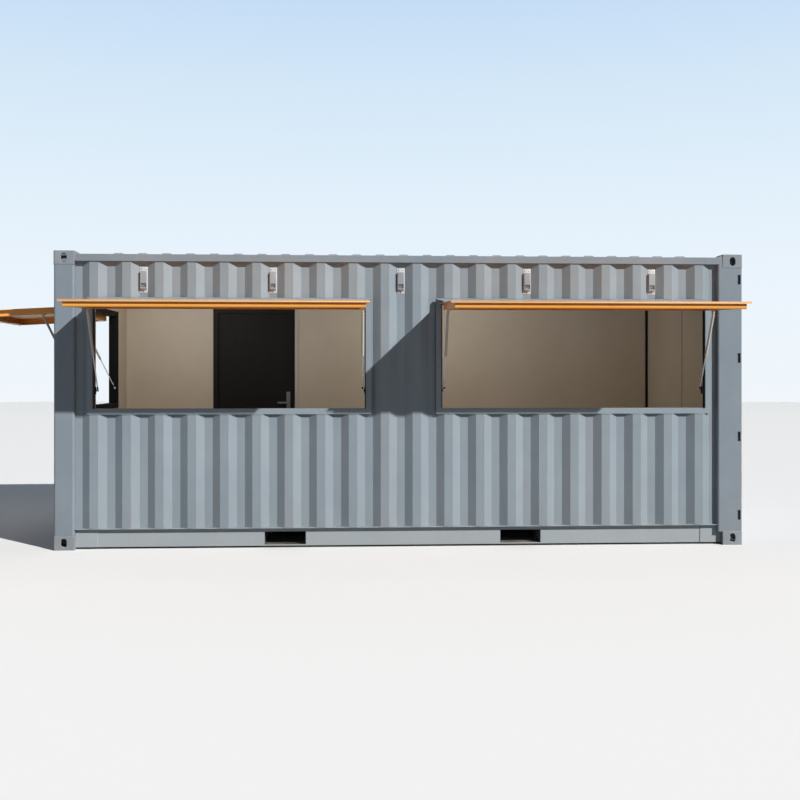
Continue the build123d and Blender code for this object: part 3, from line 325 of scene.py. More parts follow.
# %% [markdown]
# ## The enamels
# Every painted piece of the cabin shares one recipe with its own colour and its own amounts: the castings are
# cast, so their skin is coarse and their edges are rubbed; the roof is dusty; the orange flaps are new and clean.
# A function builds the material and the values are a small table, which is easy to compare and to change.

# %% Finishes: enamelled steel
def use_group(tree, group, inputs):
    """One of our groups, placed in a material with its own values."""
    return add_node(tree, "ShaderNodeGroup", inputs, node_tree=group).outputs


def enamel(name, coat, chalk, amounts, edge, specular=0.4):
    """Enamel over steel. amounts: chalking, streaks, dust, rubbing, roughness. edge: radius, peel size, peel, dents."""
    made = bpy.data.materials.new(name)
    made.use_nodes = True
    tree = made.node_tree
    radius, peel_size, peel, dents = edge
    surface = use_group(tree, soft_edges, {"Radius": radius, "Peel Size": peel_size, "Peel": peel, "Dents": dents})
    chalking, streaks, dust, rubbing, roughness = amounts
    aged = use_group(tree, aged_coat, {
        "Coat": paint_card(*coat), "Chalk": paint_card(*chalk), "Dust": paint_card(150, 142, 132),
        "Chalking": chalking, "Streaks": streaks, "Dust Cover": dust, "Rubbed": rubbing,
        "Edge": surface["Edge"], "Roughness": roughness})
    shader = tree.nodes["Principled BSDF"]
    shader.inputs["Specular IOR Level"].default_value = specular
    tree.links.new(aged["Color"], shader.inputs["Base Color"])
    tree.links.new(aged["Roughness"], shader.inputs["Roughness"])
    tree.links.new(surface["Normal"], shader.inputs["Normal"])
    return made


pressed = (0.003, 260.0, 0.20, 0.35)
stiff = (0.005, 240.0, 0.25, 0.15)
wall_enamel = enamel("wall_enamel", (132, 144, 153), (154, 164, 172), (0.35, 0.16, 0.25, 0.5, 0.46), pressed)
frame_enamel = enamel("frame_enamel", (124, 136, 146), (148, 157, 165), (0.35, 0.12, 0.30, 0.7, 0.46), stiff)
rail_enamel = enamel("rail_enamel", (158, 166, 170), (174, 180, 182), (0.40, 0.12, 0.10, 0.7, 0.46), stiff)
casting_enamel = enamel("casting_enamel", (126, 136, 145), (172, 178, 182), (0.45, 0.20, 0.45, 0.9, 0.52),
                        (0.006, 90.0, 0.55, 0.0))
roof_enamel = enamel("roof_enamel", (140, 149, 156), (166, 173, 178), (0.50, 0.10, 0.60, 0.5, 0.55), pressed)
hatch_enamel = enamel("hatch_enamel", (136, 149, 158), (166, 177, 184), (0.25, 0.10, 0.20, 0.6, 0.40),
                      (0.003, 300.0, 0.12, 0.0))
underframe_enamel = enamel("underframe_enamel", (44, 45, 47), (80, 80, 80), (0.40, 0.25, 0.70, 0.6, 0.70), stiff)
orange_enamel = enamel("orange_enamel", (254, 172, 66), (255, 194, 116), (0.20, 0.05, 0.12, 0.5, 0.36),
                       (0.003, 320.0, 0.12, 0.0), 0.5)
# The flap sheet's edges are rubbed to a near-white cream: partly worn paint, partly a painted highlight where the sun
# catches the edge.
flap_sheet_wear_and_highlight_enamel = enamel("flap_sheet_wear_and_highlight_enamel", (246, 162, 70), (248, 226, 204), (0.10, 0.05, 0.15, 1.6, 0.38),
                           (0.004, 320.0, 0.12, 0.2), 0.5)
# The lip's pale orange is a painted highlight: the sun's glint along the flap's front edge.
lip_highlight_enamel = enamel("lip_highlight_enamel", (255, 203, 142), (252, 222, 186), (0.20, 0.05, 0.10, 0.9, 0.45),
                      (0.002, 320.0, 0.12, 0.0), 0.5)
strut_enamel = enamel("strut_enamel", (205, 198, 184), (226, 222, 214), (0.25, 0.08, 0.10, 0.6, 0.36),
                      (0.0015, 400.0, 0.10, 0.0))
vent_enamel = enamel("vent_enamel", (136, 141, 149), (196, 200, 204), (0.30, 0.12, 0.10, 1.0, 0.42),
                     (0.002, 320.0, 0.15, 0.0))
door_coat = enamel("door_coat", (18, 17, 16), (32, 31, 30), (0.15, 0.01, 0.05, 0.4, 0.56),
                   (0.002, 700.0, 0.60, 0.0), 0.22)
print("enamels", len([m for m in bpy.data.materials if m.name.endswith(("enamel", "coat"))]))

# %% [markdown]
# ## Metal, rubber, boards and plywood
# The piston rods are chromed, the lever is brushed and the bolts are zinc plated: metals with plain values and a
# fine pattern in their roughness or normal. Seals are dull black rubber. The lining is cream painted board with a
# faint roller texture, and the deck is sealed plywood, whose grain is noise drawn out along each sheet.

# %% Finishes: bare metals and rubber
def plain_finish(name, first, second, stretch, roughness, metallic=0.0, bump=0.1, radius=0.0015, specular=0.5):
    """A finish of two near colours in a stretched noise, which also moves the roughness and the normal."""
    made = bpy.data.materials.new(name)
    made.use_nodes = True
    tree = made.node_tree
    pattern = cloudy(tree, stretch, 4.0, 0.6)
    mask = between(tree, pattern, 0.32, 0.68)
    surface = use_group(tree, soft_edges, {"Radius": radius, "Peel": 0.0})
    shader = tree.nodes["Principled BSDF"]
    shader.inputs["Metallic"].default_value = metallic
    shader.inputs["Specular IOR Level"].default_value = specular
    colour = blend_colours(tree, mask, paint_card(*first), paint_card(*second))
    tree.links.new(colour, shader.inputs["Base Color"])
    tree.links.new(between(tree, mask, 0.0, 1.0, *roughness), shader.inputs["Roughness"])
    grooves = add_node(tree, "ShaderNodeBump", {"Strength": bump, "Distance": 0.0005, "Height": pattern,
                                                "Normal": surface["Normal"]})
    tree.links.new(grooves.outputs[0], shader.inputs["Normal"])
    return made


piston_chrome = plain_finish("piston_chrome", (158, 159, 161), (176, 176, 177), (60, 60, 60), (0.24, 0.36), 1.0, 0.03)
brushed_steel = plain_finish("brushed_steel", (112, 108, 103), (136, 132, 126), (18, 260, 260), (0.30, 0.46), 1.0, 0.25)
bolt_zinc = plain_finish("bolt_zinc", (128, 129, 130), (158, 159, 158), (70, 70, 70), (0.40, 0.62), 0.85, 0.15)
dark_screw = plain_finish("dark_screw", (40, 38, 37), (66, 62, 58), (90, 90, 90), (0.45, 0.65), 0.6, 0.15)
seal_rubber = plain_finish("seal_rubber", (22, 22, 23), (34, 34, 35), (55, 55, 55), (0.70, 0.88), 0.0, 0.35,
                           specular=0.12)
lining_paint = plain_finish("lining_paint", (222, 211, 195), (231, 221, 206), (1.6, 1.6, 1.2), (0.52, 0.62), 0.0, 0.08,
                            0.002, 0.3)
print("finishes", len(bpy.data.materials))

# %% [markdown]
# The deck of a freight container is thick plywood in sheets that run across it, each a little different. A Voronoi
# or brick pattern could lay out the sheets; a brick texture with no offset does it exactly, because its two
# colours vary sheet by sheet and its mortar is the joint.

# %% Finish: plywood deck
deck_ply = bpy.data.materials.new("deck_ply")
deck_ply.use_nodes = True
tree = deck_ply.node_tree
where = add_node(tree, "ShaderNodeTexCoord").outputs["Object"]
sheets = add_node(tree, "ShaderNodeTexBrick", {
    "Vector": where, "Color1": paint_card(128, 100, 72), "Color2": paint_card(112, 86, 60),
    "Mortar": paint_card(38, 30, 24), "Scale": 1.0, "Mortar Size": 0.004, "Mortar Smooth": 0.1,
    "Brick Width": 0.58, "Row Height": 1.16}, offset=0.0, squash=1.0)
grain = cloudy(tree, (40.0, 2.2, 40.0), 5.0, 0.6)
grain_mask = between(tree, grain, 0.38, 0.66)
scuffs = patches(tree, (3.0, 3.0, 3.0), 0.48, 0.66, 6.0, 0.7)
ply = blend_colours(tree, times(tree, grain_mask, 0.45), sheets.outputs["Color"], paint_card(84, 62, 42))
ply = blend_colours(tree, times(tree, scuffs, 0.35), ply, paint_card(150, 128, 104))
shader = tree.nodes["Principled BSDF"]
tree.links.new(ply, shader.inputs["Base Color"])
tree.links.new(between(tree, scuffs, 0.0, 1.0, 0.45, 0.75), shader.inputs["Roughness"])
joint_and_grain = calculate(tree, "MULTIPLY_ADD", sheets.outputs["Fac"], -3.0, grain)
relief = add_node(tree, "ShaderNodeBump", {"Strength": 0.3, "Distance": 0.001, "Height": joint_and_grain})
tree.links.new(relief.outputs[0], shader.inputs["Normal"])
print("deck sheets", sheets.inputs["Brick Width"].default_value, "m wide")

# %% [markdown]
# ## Paint the cabin
# Each node of the frame keeps its shape and gets its finish. Looking a node up by a word in its name keeps the
# table short: the first word that fits wins, so the special cases stand before the general ones.

# %% Give every node its finish
finish_by_word = [
    ("corner_castings", casting_enamel), ("roof", roof_enamel), ("lining", lining_paint), ("deck", deck_ply),
    ("cross_members", underframe_enamel), ("fork_pockets", underframe_enamel), ("flap_frame", orange_enamel),
    ("flap_skin", flap_sheet_wear_and_highlight_enamel), ("strut_tubes", strut_enamel), ("strut_rods", piston_chrome),
    ("hatch_frame", hatch_enamel), ("drip_hoods", hatch_enamel), ("door_levers", brushed_steel),
    ("bottom_side_rails", rail_enamel), ("personnel_door", door_coat), ("vents", vent_enamel),
    ("cargo_door_lock_rods", frame_enamel), ("cargo_door_hinges", frame_enamel), ("cargo_door", wall_enamel),
    ("wall", wall_enamel), ("", frame_enamel)]
for name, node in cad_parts.items():
    finish = next(found for word, found in finish_by_word if word in name)
    node.data.materials.clear()
    node.data.materials.append(finish)
print("painted", len(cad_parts), "nodes")

# %% [markdown]
# ## Tools for small steel parts
# Welds, seals and trims are all one idea: a ring of points carried along a path. create_circle makes a ring at each
# corner, squeezed to the strip's width and height and turned half-way into the bend, which is a mitre. bridge_loops
# then skins from ring to ring. A curve with a bevel could do the same, but it rounds corners that should be mitred.

# %% Strips along a path, plates and finished pieces
def strip(shape, path, width, height, normal, sides=8, closed=False):
    """A strip of oval section along a path that lies square to its normal."""
    normal = Vector(normal).normalized()
    points = [Vector(point) for point in path]
    rings = []
    for place, point in enumerate(points):
        steps = []
        if closed or place > 0:
            steps.append((point - points[place - 1]).normalized())
        if closed or place < len(points) - 1:
            steps.append((points[(place + 1) % len(points)] - point).normalized())
        along = sum(steps, Vector()).normalized()
        side = along.cross(normal).normalized()
        mitre = 1 / max(0.35, along.dot(steps[0]))
        axes = Matrix((side * width / 2 * mitre, normal * height / 2, along)).transposed().to_4x4()
        ring = bmesh.ops.create_circle(shape, segments=sides, radius=1.0, matrix=Matrix.Translation(point) @ axes)
        rings.append(list({edge for corner in ring["verts"] for edge in corner.link_edges}))
    following = rings[1:] + rings[:1] if closed else rings[1:]
    for first, second in zip(rings, following):
        bmesh.ops.bridge_loops(shape, edges=first + second)
    if not closed:
        for end in (rings[0], rings[-1]):
            bmesh.ops.edgeloop_fill(shape, edges=end)


def plate(shape, low, high, rounding=0.001, turn=None):
    """A plate between two corners, with its edges rounded. turn rotates it about its middle."""
    low, high = Vector(low), Vector(high)
    size = high - low
    made = bmesh.ops.create_cube(shape, size=1.0, matrix=Matrix.Diagonal((*size, 1)))["verts"]
    edges = list({edge for corner in made for edge in corner.link_edges})
    if rounding:
        done = bmesh.ops.bevel(shape, geom=edges, offset=rounding, segments=2, profile=0.5, affect="EDGES", material=-1)
        made = list({corner for face in done["faces"] for corner in face.verts})
    place = Matrix.Translation((low + high) / 2) @ (turn or Matrix.Identity(4))
    bmesh.ops.transform(shape, matrix=place, verts=made)


def finish_piece(shape, name, finish, body, place=None):
    """Turns a shape into a piece that rides on a body, with its sharp bends kept crisp."""
    if place is not None:
        bmesh.ops.transform(shape, matrix=place, verts=shape.verts)
    bmesh.ops.recalc_face_normals(shape, faces=shape.faces)
    mesh = as_mesh(shape, name)
    mesh.shade_smooth()
    mesh.set_sharp_from_angle(angle=math.radians(38))
    mesh.materials.append(finish)
    piece = bpy.data.objects.new(name, mesh)
    scene.collection.objects.link(piece)
    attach(piece, body)
    print(name, len(mesh.polygons), "faces on", body)
    return piece


# %% [markdown]
# ## Bolts and screws
# A bolt head is made once and stamped wherever one sits, which keeps every head alike and cheap. The hexagon is a
# six-sided cone with its top rim bevelled, on a round washer. A screw or rivet is a shallow dome: a hemisphere
# would cost more faces, so a cone with a bevelled rim is enough at this size.

# %% Masters for heads, and a stamp
def head(radius, height, sides, washer=0.0, rim=0.25):
    """A bolt or screw head that stands on the ground plane."""
    shape = bmesh.new()
    base = height * 0.25 if washer else 0.0
    if washer:
        bmesh.ops.create_cone(shape, cap_ends=True, segments=16, radius1=washer, radius2=washer * 0.96, depth=base,
                              matrix=Matrix.Translation((0, 0, base / 2)))
    top = height - base
    made = bmesh.ops.create_cone(shape, cap_ends=True, segments=sides, radius1=radius, radius2=radius, depth=top,
                                 matrix=Matrix.Translation((0, 0, base + top / 2)))["verts"]
    rims = [edge for edge in {e for corner in made for e in corner.link_edges}
            if all(corner.co.z > height - 1e-6 for corner in edge.verts)]
    bmesh.ops.bevel(shape, geom=rims, offset=radius * rim, segments=2, profile=0.5, affect="EDGES", material=-1)
    return as_mesh(shape, "head")


def aim(place, axis):
    """A matrix that stands a part at a place with its up along an axis."""
    return Matrix.Translation(place) @ Vector(axis).to_track_quat("Z", "Y").to_matrix().to_4x4()


def stamp(shape, master, places):
    """Adds a copy of the master at each place."""
    for place in places:
        before = len(shape.verts)
        shape.from_mesh(master)
        shape.verts.ensure_lookup_table()
        bmesh.ops.transform(shape, matrix=place, verts=shape.verts[before:])


hex_bolt = head(0.0085, 0.0075, 6, 0.0105)
small_bolt = head(0.0042, 0.0032, 6, 0.0052)
pan_screw = head(0.0042, 0.0022, 14, rim=0.4)
rivet = head(0.0036, 0.0014, 12, rim=0.45)
print("bolt head faces", len(hex_bolt.polygons))

# %% [markdown]
# ## Where things are
# The boxes of the frame's nodes give the planes that the small parts sit on. The corrugated sheets repeat every
# 280 mm: an outer flat, a flank, an inner flat and a flank. A function returns the bends of such a sheet, so that
# a weld can follow it.

# %% Planes of the cabin and the bends of its sheets
front_low, front_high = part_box("front_wall_bands")
end_low, end_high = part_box("blind_end_wall_bands")
wall_face, wall_ends = -front_low.y, (front_low.x, front_high.x)
wall_low, wall_high = front_low.z, front_high.z
end_face, end_reach = -end_low.x, end_high.y
frame_low, frame_high = (corner.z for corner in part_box("left_hatch_frame"))
long_wave = {"pitch": 0.2802, "flat": 0.070, "flank": 0.068, "depth": 0.036, "centre": -0.0245}
end_wave = {"pitch": 0.250, "flat": 0.070, "flank": 0.050, "depth": 0.045, "centre": 0.0}


def sheet_bends(start, stop, wave):
    """The bends of a corrugated sheet between two ends: how far along, and how deep each lies."""
    half = wave["flat"] / 2
    bends = {start, stop}
    for count in range(-14, 15):
        middle = wave["centre"] + count * wave["pitch"]
        bends |= {middle + reach for reach in (-half - wave["flank"], -half, half, half + wave["flank"])}
    found = []
    for along in sorted(b for b in bends if b in (start, stop) or start + 0.001 < b < stop - 0.001):
        away = abs((along - wave["centre"] + wave["pitch"] / 2) % wave["pitch"] - wave["pitch"] / 2)
        ramp = (half + wave["flank"] - away) / wave["flank"]
        found.append((along, wave["depth"] * min(1.0, max(0.0, ramp))))
    return found


print("bends along the front", len(sheet_bends(*wall_ends, long_wave)))

# %% [markdown]
# ## Welds
# A container is welded all round, so that no water stands in a seam. The beads are what an eye misses first on a
# bare model: along the foot and the top of each corrugated sheet, round each casting, and where the hatch frames
# were let into the sheet. Each bead is a thin strip on the bends that the last cell gives.

# %% Weld beads
def wall_bead(shape, side, ends, height):
    """A bead that follows the front (-1) or back (+1) sheet at a height."""
    bends = sheet_bends(*ends, long_wave)
    strip(shape, [(x, side * (wall_face - deep + 0.0005), height) for x, deep in bends], 0.006, 0.006, (0, 0, 1), 6)


door_low, door_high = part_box("personnel_door_frame")
hatch_spans = [[corner.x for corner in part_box(side + "_hatch_frame")] for side in ("left", "right")]
beads = bmesh.new()
for height in (wall_low + 0.002, wall_high - 0.002):
    wall_bead(beads, -1, wall_ends, height)
for ends in hatch_spans:
    wall_bead(beads, -1, ends, frame_low - 0.002)
for ends in ((wall_ends[0], door_low.x), (door_high.x, wall_ends[1])):
    for height in (wall_low + 0.002, wall_high - 0.002):
        wall_bead(beads, 1, ends, height)
wall_bead(beads, 1, (door_low.x, door_high.x), door_high.z + 0.002)
for height in (wall_low + 0.002, frame_low - 0.002, wall_high - 0.002):
    reach = end_reach if height != frame_low - 0.002 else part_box("end_hatch_frame")[1].y
    bends = sheet_bends(-reach, reach, end_wave)
    strip(beads, [(deep - end_face - 0.0005, y, height) for y, deep in bends], 0.006, 0.006, (0, 0, 1), 6)
finish_piece(beads, "wall_sheet_welds", wall_enamel, "cabin")

castings = bmesh.new()
casting_high, casting_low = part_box("bottom_corner_castings")[1].z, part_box("top_corner_castings")[0].z
post_side, post_inside = 1.2165, 1.172
rail_end, rail_inside, rail_foot, rail_top = 2.8505, 1.158, 2.5025, 2.5615
for side_x, post_out, post_in in ((-1, 3.026, 2.853), (1, 3.022, 2.855)):
    out_x, in_x = side_x * post_out, side_x * post_in
    for side_y in (-1, 1):
        out_y, in_y = side_y * post_side, side_y * post_inside
        for height in (casting_high + 0.001, casting_low - 0.001):
            corner = [(in_x, in_y, height), (in_x, out_y, height), (out_x, out_y, height), (out_x, in_y, height)]
            strip(castings, corner, 0.005, 0.006, (0, 0, 1), 6)
        rail_ring = [(side_x * rail_end, side_y * y, z) for y, z in (
            (rail_inside, rail_top), (post_side, rail_top), (post_side, rail_foot), (rail_inside, rail_foot))]
        strip(castings, rail_ring, 0.005, 0.005, (1, 0, 0), 6)
finish_piece(castings, "casting_welds", casting_enamel, "cabin")

# %% [markdown]
# ## Ventilators
# Nine small ventilators let the cabin breathe. Each is a pressed cover on a plate that just fits the sheet's inner
# flat, with two screws above and three below, and slats low in its face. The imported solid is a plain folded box, so
# a finer cover stands for it: a block cut by planes, with one face pushed in for the opening.

# %% One ventilator, stamped nine times
vent_low, vent_high = (corner.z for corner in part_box("wall_vents"))
seat = wall_face - long_wave["depth"]
half_plate, half_cover = 0.0340, 0.0275
cover_low, cover_high, cover_out = 0.034, 0.188, 0.0265
opening_low, opening_high, opening_side = 0.046, 0.082, half_cover - 0.005
slat_half, slat_faces, slat_tilt = 0.0060, (0.0165, 0.0177), Matrix.Rotation(math.radians(-48), 4, "X")

cover = bmesh.new()
block = bmesh.ops.create_cube(cover, size=1.0)["verts"]
bmesh.ops.scale(cover, vec=(2 * half_cover, cover_high - cover_low, cover_out), verts=block)
bmesh.ops.translate(cover, vec=(0, (cover_low + cover_high) / 2, cover_out / 2), verts=block)
for place, cut in (((0, opening_low, 0), (0, 1, 0)), ((0, opening_high, 0), (0, 1, 0)),
                   ((-opening_side, 0, 0), (1, 0, 0)), ((opening_side, 0, 0), (1, 0, 0))):
    bmesh.ops.bisect_plane(cover, geom=cover.verts[:] + cover.edges[:] + cover.faces[:], plane_co=place, plane_no=cut)
mouth = [face for face in cover.faces if face.normal.z > 0.9 and abs(face.calc_center_median().x) < 0.002
         and opening_low < face.calc_center_median().y < opening_high]
pushed = bmesh.ops.extrude_discrete_faces(cover, faces=mouth)["faces"]
bmesh.ops.translate(cover, vec=(0, 0, -0.020), verts=list({corner for face in pushed for corner in face.verts}))
outer = [edge for edge in cover.edges if len(edge.link_faces) == 2 and edge.calc_face_angle(0.0) > 0.5
         and max(abs(corner.co.x) for corner in edge.verts) > half_cover - 0.001]
bmesh.ops.bevel(cover, geom=outer, offset=0.003, segments=2, profile=0.5, affect="EDGES", material=-1)
for rise in (0.052, 0.064, 0.076):
    plate(cover, (-opening_side, rise - slat_half, slat_faces[0]), (opening_side, rise + slat_half, slat_faces[1]), 0.0,
          slat_tilt)
cover_mesh = as_mesh(cover, "ventilator_cover")

back_plate = bmesh.new()
plate(back_plate, (-half_plate, 0.0, 0.0), (half_plate, vent_high - vent_low, 0.003), 0.001)
plate_mesh = as_mesh(back_plate, "ventilator_plate")

screw_places = [(-0.020, 0.206), (0.020, 0.206), (-0.024, 0.024), (0.024, 0.024), (0.0, 0.011)]
covers, plates, screws = bmesh.new(), bmesh.new(), bmesh.new()
for side, counts in ((-1, (-8, -4, 0, 4, 8)), (1, (-8, 0, 4, 8))):
    for count in counts:
        x = long_wave["centre"] + count * long_wave["pitch"]
        stand = Matrix(((-side, 0, 0, x), (0, 0, side, side * seat), (0, 1, 0, vent_low), (0, 0, 0, 1)))
        stamp(covers, cover_mesh, [stand])
        stamp(plates, plate_mesh, [stand])
        stamp(screws, pan_screw, [stand @ Matrix.Translation((*place, 0.003)) for place in screw_places])
vent_plate_enamel = enamel("vent_plate_enamel", (198, 200, 202), (214, 215, 216), (0.20, 0.10, 0.10, 0.8, 0.40),
                           (0.001, 320.0, 0.12, 0.0))
finish_piece(covers, "ventilator_covers", vent_enamel, "cabin")
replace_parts(finish_piece(plates, "ventilator_plates", vent_plate_enamel, "cabin"), "wall_vents")
finish_piece(screws, "ventilator_screws", dark_screw, "cabin")

# %% [markdown]
# ## The hatches
# Each hatch is the same kit in its own size, so it is modelled on a flat plane: x along the wall, y up, z outwards.
# The open flap has a plane of its own at the hinge, and whatever is built on that plane rides on the flap.

# %% The planes of the three hatches
hinge_up, hinge_out = 2.146, 0.0195
sill, hatch_head = 1.222, 2.138
jambs, frame_step = 0.110, 0.005
flap_open = math.radians(87)


def plane_matrix(origin, along, up):
    """A plane's matrix: x along, y up and z square to both."""
    along, up = Vector(along), Vector(up)
    out = along.cross(up)
    return Matrix.Translation(origin) @ Matrix((along, up, out)).transposed().to_4x4()


def flap_matrix(wall):
    """The plane of an open flap: y back to the hinge and z on its outer face."""
    along, up, out = (wall.to_3x3().col[i] for i in range(3))
    normal = out * math.cos(flap_open) + up * math.sin(flap_open)
    return plane_matrix(wall @ Vector((0, hinge_up, hinge_out)), along, normal.cross(along))


hatches = {}
for side in ("left", "right", "end"):
    low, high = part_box(side + "_hatch_frame")
    if side == "end":
        wall = plane_matrix((-end_face + frame_step, 0, 0), (0, -1, 0), (0, 0, 1))
        opening = high.y - low.y - jambs
    else:
        wall = plane_matrix(((low.x + high.x) / 2, -wall_face + frame_step, 0), (1, 0, 0), (0, 0, 1))
        opening = high.x - low.x - jambs
    hatches[side] = (wall, flap_matrix(wall), opening)
    print(side, "hatch opening", round(opening, 3), "by", round(hatch_head - sill, 3))

# %% [markdown]
# A flap shuts against a rubber seal that runs up the jambs and over the head, pushed over the frame's edge, and a
# black liner covers the raw edge of the frame, with a cream board behind it; the liner's black is partly painted
# shade, the shade that falls deep in the reveal. The seal is one strip with mitred corners; liner and boards are thin
# plates. They stay clear of the flap's own frame, which shuts eight millimetres inside the opening. The two serving
# sills are left bare for the people who wipe them, and the end hatch has a black sill plate and a flat black trim
# round its inside as well, both partly painted shade inside that opening.

# %% Seals, reveal liners and hood sealant
seal_out, seal_aside = 0.006, 0.003
liner_back, board_back, liner_front = -0.042, -0.072, -0.0005
trim_back, trim_front, trim_width = -0.0780, -0.0745, 0.052
for side, (wall, flap, opening) in hatches.items():
    half = opening / 2
    seal = bmesh.new()
    strip(seal, [(x, y, seal_out) for x, y in (
        (-half - seal_aside, sill), (-half - seal_aside, hatch_head + seal_aside),
        (half + seal_aside, hatch_head + seal_aside), (half + seal_aside, sill))], 0.006, 0.012, (0, 0, 1), 10)
    finish_piece(seal, side + "_hatch_seal", seal_rubber, "cabin", place=wall)
    # The liner's black is partly painted shade: the shade that falls deep in each reveal.
    liner, boards = bmesh.new(), bmesh.new()
    deep = board_back if side == "end" else liner_back
    for edge in (-1, 1):
        jamb = sorted((edge * half, edge * (half - 0.0015)))
        plate(liner, (jamb[0], sill, deep), (jamb[1], hatch_head, liner_front), 0.0004)
        if side != "end":
            plate(boards, (jamb[0], sill, board_back), (jamb[1], hatch_head, deep - 0.0005), 0.0004)
    # At the end hatch the black sill plate and the inner trim are partly painted shade, where that opening lies in
    # shadow.
    if side == "end":
        plate(liner, (-half, sill, deep), (half, sill + 0.0012, liner_front), 0.0004)
        for low, high in (((-half - trim_width, frame_low), (-half, frame_high)),
                          ((half, frame_low), (half + trim_width, frame_high)),
                          ((-half, frame_low), (half, sill)), ((-half, hatch_head), (half, frame_high))):
            plate(liner, (*low, trim_back), (*high, trim_front), 0.0010)
    plate(liner, (-half, hatch_head - 0.0012, deep), (half, hatch_head, liner_front), 0.0004)
    finish_piece(liner, side + "_hatch_liner_and_painted_shade", seal_rubber, "cabin", place=wall)
    if side != "end":
        finish_piece(boards, side + "_reveal_boards", lining_paint, "cabin", place=wall)
    sealant = bmesh.new()
    strip(sealant, [(x, frame_high + 0.0005, 0.001) for x in (-half - 0.053, half + 0.053)], 0.005, 0.005, (0, 0, 1), 8)
    finish_piece(sealant, side + "_hood_sealant", hatch_enamel, "cabin", place=wall)

# %% [markdown]
# ## Hinges, brackets and struts up close
# The flap's weld-on hinges turn on pins whose ends show at the barrels. Each gas strut pushes on a bracket that is
# bolted under the flap, and its foot sits in a black cap on the jamb. A gland closes the tube's lower end, and a
# black end fitting joins the rod to its eye. Each part rides on the body that carries it.

# %% Hinge pins and strut fittings
strut_inset, foot_up, foot_out = 0.022, 1.380, -0.0585
head_reach, head_deep, neck, tube_length = 0.262, 0.078, 0.014, 0.400
hinge_inset, hinge_bead_up = 0.180, 2.1505
cap_half, cap_half_deep = 0.033, 0.0135


def collar(shape, start, along, reach, radii):
    """A turned collar round a strut: a lathe profile spun once about its line."""
    line = Vector(along).normalized()
    sideways = line.orthogonal().normalized()
    step = reach / (len(radii) - 1)
    profile = [shape.verts.new(Vector(start) + line * step * count + sideways * radius)
               for count, radius in enumerate(radii)]
    edges = [shape.edges.new(pair) for pair in zip(profile, profile[1:])]
    bmesh.ops.spin(shape, geom=profile + edges, cent=start, axis=line, dvec=(0, 0, 0), angle=math.tau, steps=20,
                   use_merge=True)


for side, (wall, flap, opening) in hatches.items():
    half = opening / 2
    places = [(half - hinge_inset) * step for step in (1, 0, -1)]
    fixed, moving = bmesh.new(), bmesh.new()
    for x in places:
        stamp(fixed, rivet, [aim((x - 0.045, hinge_up, hinge_out), (-1, 0, 0))])
        stamp(moving, rivet, [aim((x + 0.045, 0, 0), (1, 0, 0))])
        strip(fixed, [(x + aside, hinge_bead_up, 0.001) for aside in (-0.044, -0.002)], 0.003, 0.003, (0, 0, 1), 6)
    finish_piece(fixed, side + "_hinge_pins_fixed", bolt_zinc, "cabin", place=wall)
    finish_piece(moving, side + "_hinge_pins_moving", bolt_zinc, side + "_flap", place=flap)

    caps, feet, glands, bracket_bolts = bmesh.new(), bmesh.new(), bmesh.new(), bmesh.new()
    to_wall = wall.inverted() @ flap
    for hand in (-1, 1):
        jamb = hand * half
        span = sorted((jamb, jamb - hand * 0.0062))
        plate(caps, (span[0], foot_up - cap_half, foot_out - cap_half_deep),
              (span[1], foot_up + cap_half, foot_out + cap_half_deep), 0.0015)
        boss = aim((jamb - hand * 0.006, foot_up, foot_out), (-hand, 0, 0))
        bmesh.ops.create_cone(caps, cap_ends=True, segments=20, radius1=0.0100, radius2=0.0080, depth=0.0075,
                              matrix=boss @ Matrix.Translation((0, 0, 0.00375)))
        foot = Vector((hand * (half - strut_inset), foot_up, foot_out))
        top = to_wall @ Vector((hand * (half - strut_inset), -head_reach, -head_deep))
        line = (top - foot).normalized()
        collar(feet, foot + line * 0.011, line, 0.024, (0.0051, 0.0078, 0.0082, 0.0082, 0.0068, 0.0051))
        tube_end = top - line * (neck + tube_length)
        collar(glands, tube_end - line * 0.004, line, 0.020, (0.0052, 0.0094, 0.0112, 0.0115, 0.0115, 0.0111))
        lug = hand * (half - strut_inset - 0.007)
        for step in (-0.0135, 0.0135):
            place = (lug - hand * 0.0110, -head_reach + step, -0.062)
            stamp(bracket_bolts, small_bolt, [aim(place, (0, 0, -1))])
        stamp(bracket_bolts, small_bolt, [aim((lug - hand * 0.004, -head_reach, -head_deep), (-hand, 0, 0))])
    finish_piece(caps, side + "_strut_foot_caps", seal_rubber, "cabin", place=wall)
    finish_piece(feet, side + "_strut_end_fittings", seal_rubber, side + "_strut_rods", place=wall)
    finish_piece(glands, side + "_strut_glands", strut_enamel, side + "_strut_tubes", place=wall)
    finish_piece(bracket_bolts, side + "_bracket_bolts", bolt_zinc, side + "_flap", place=flap)
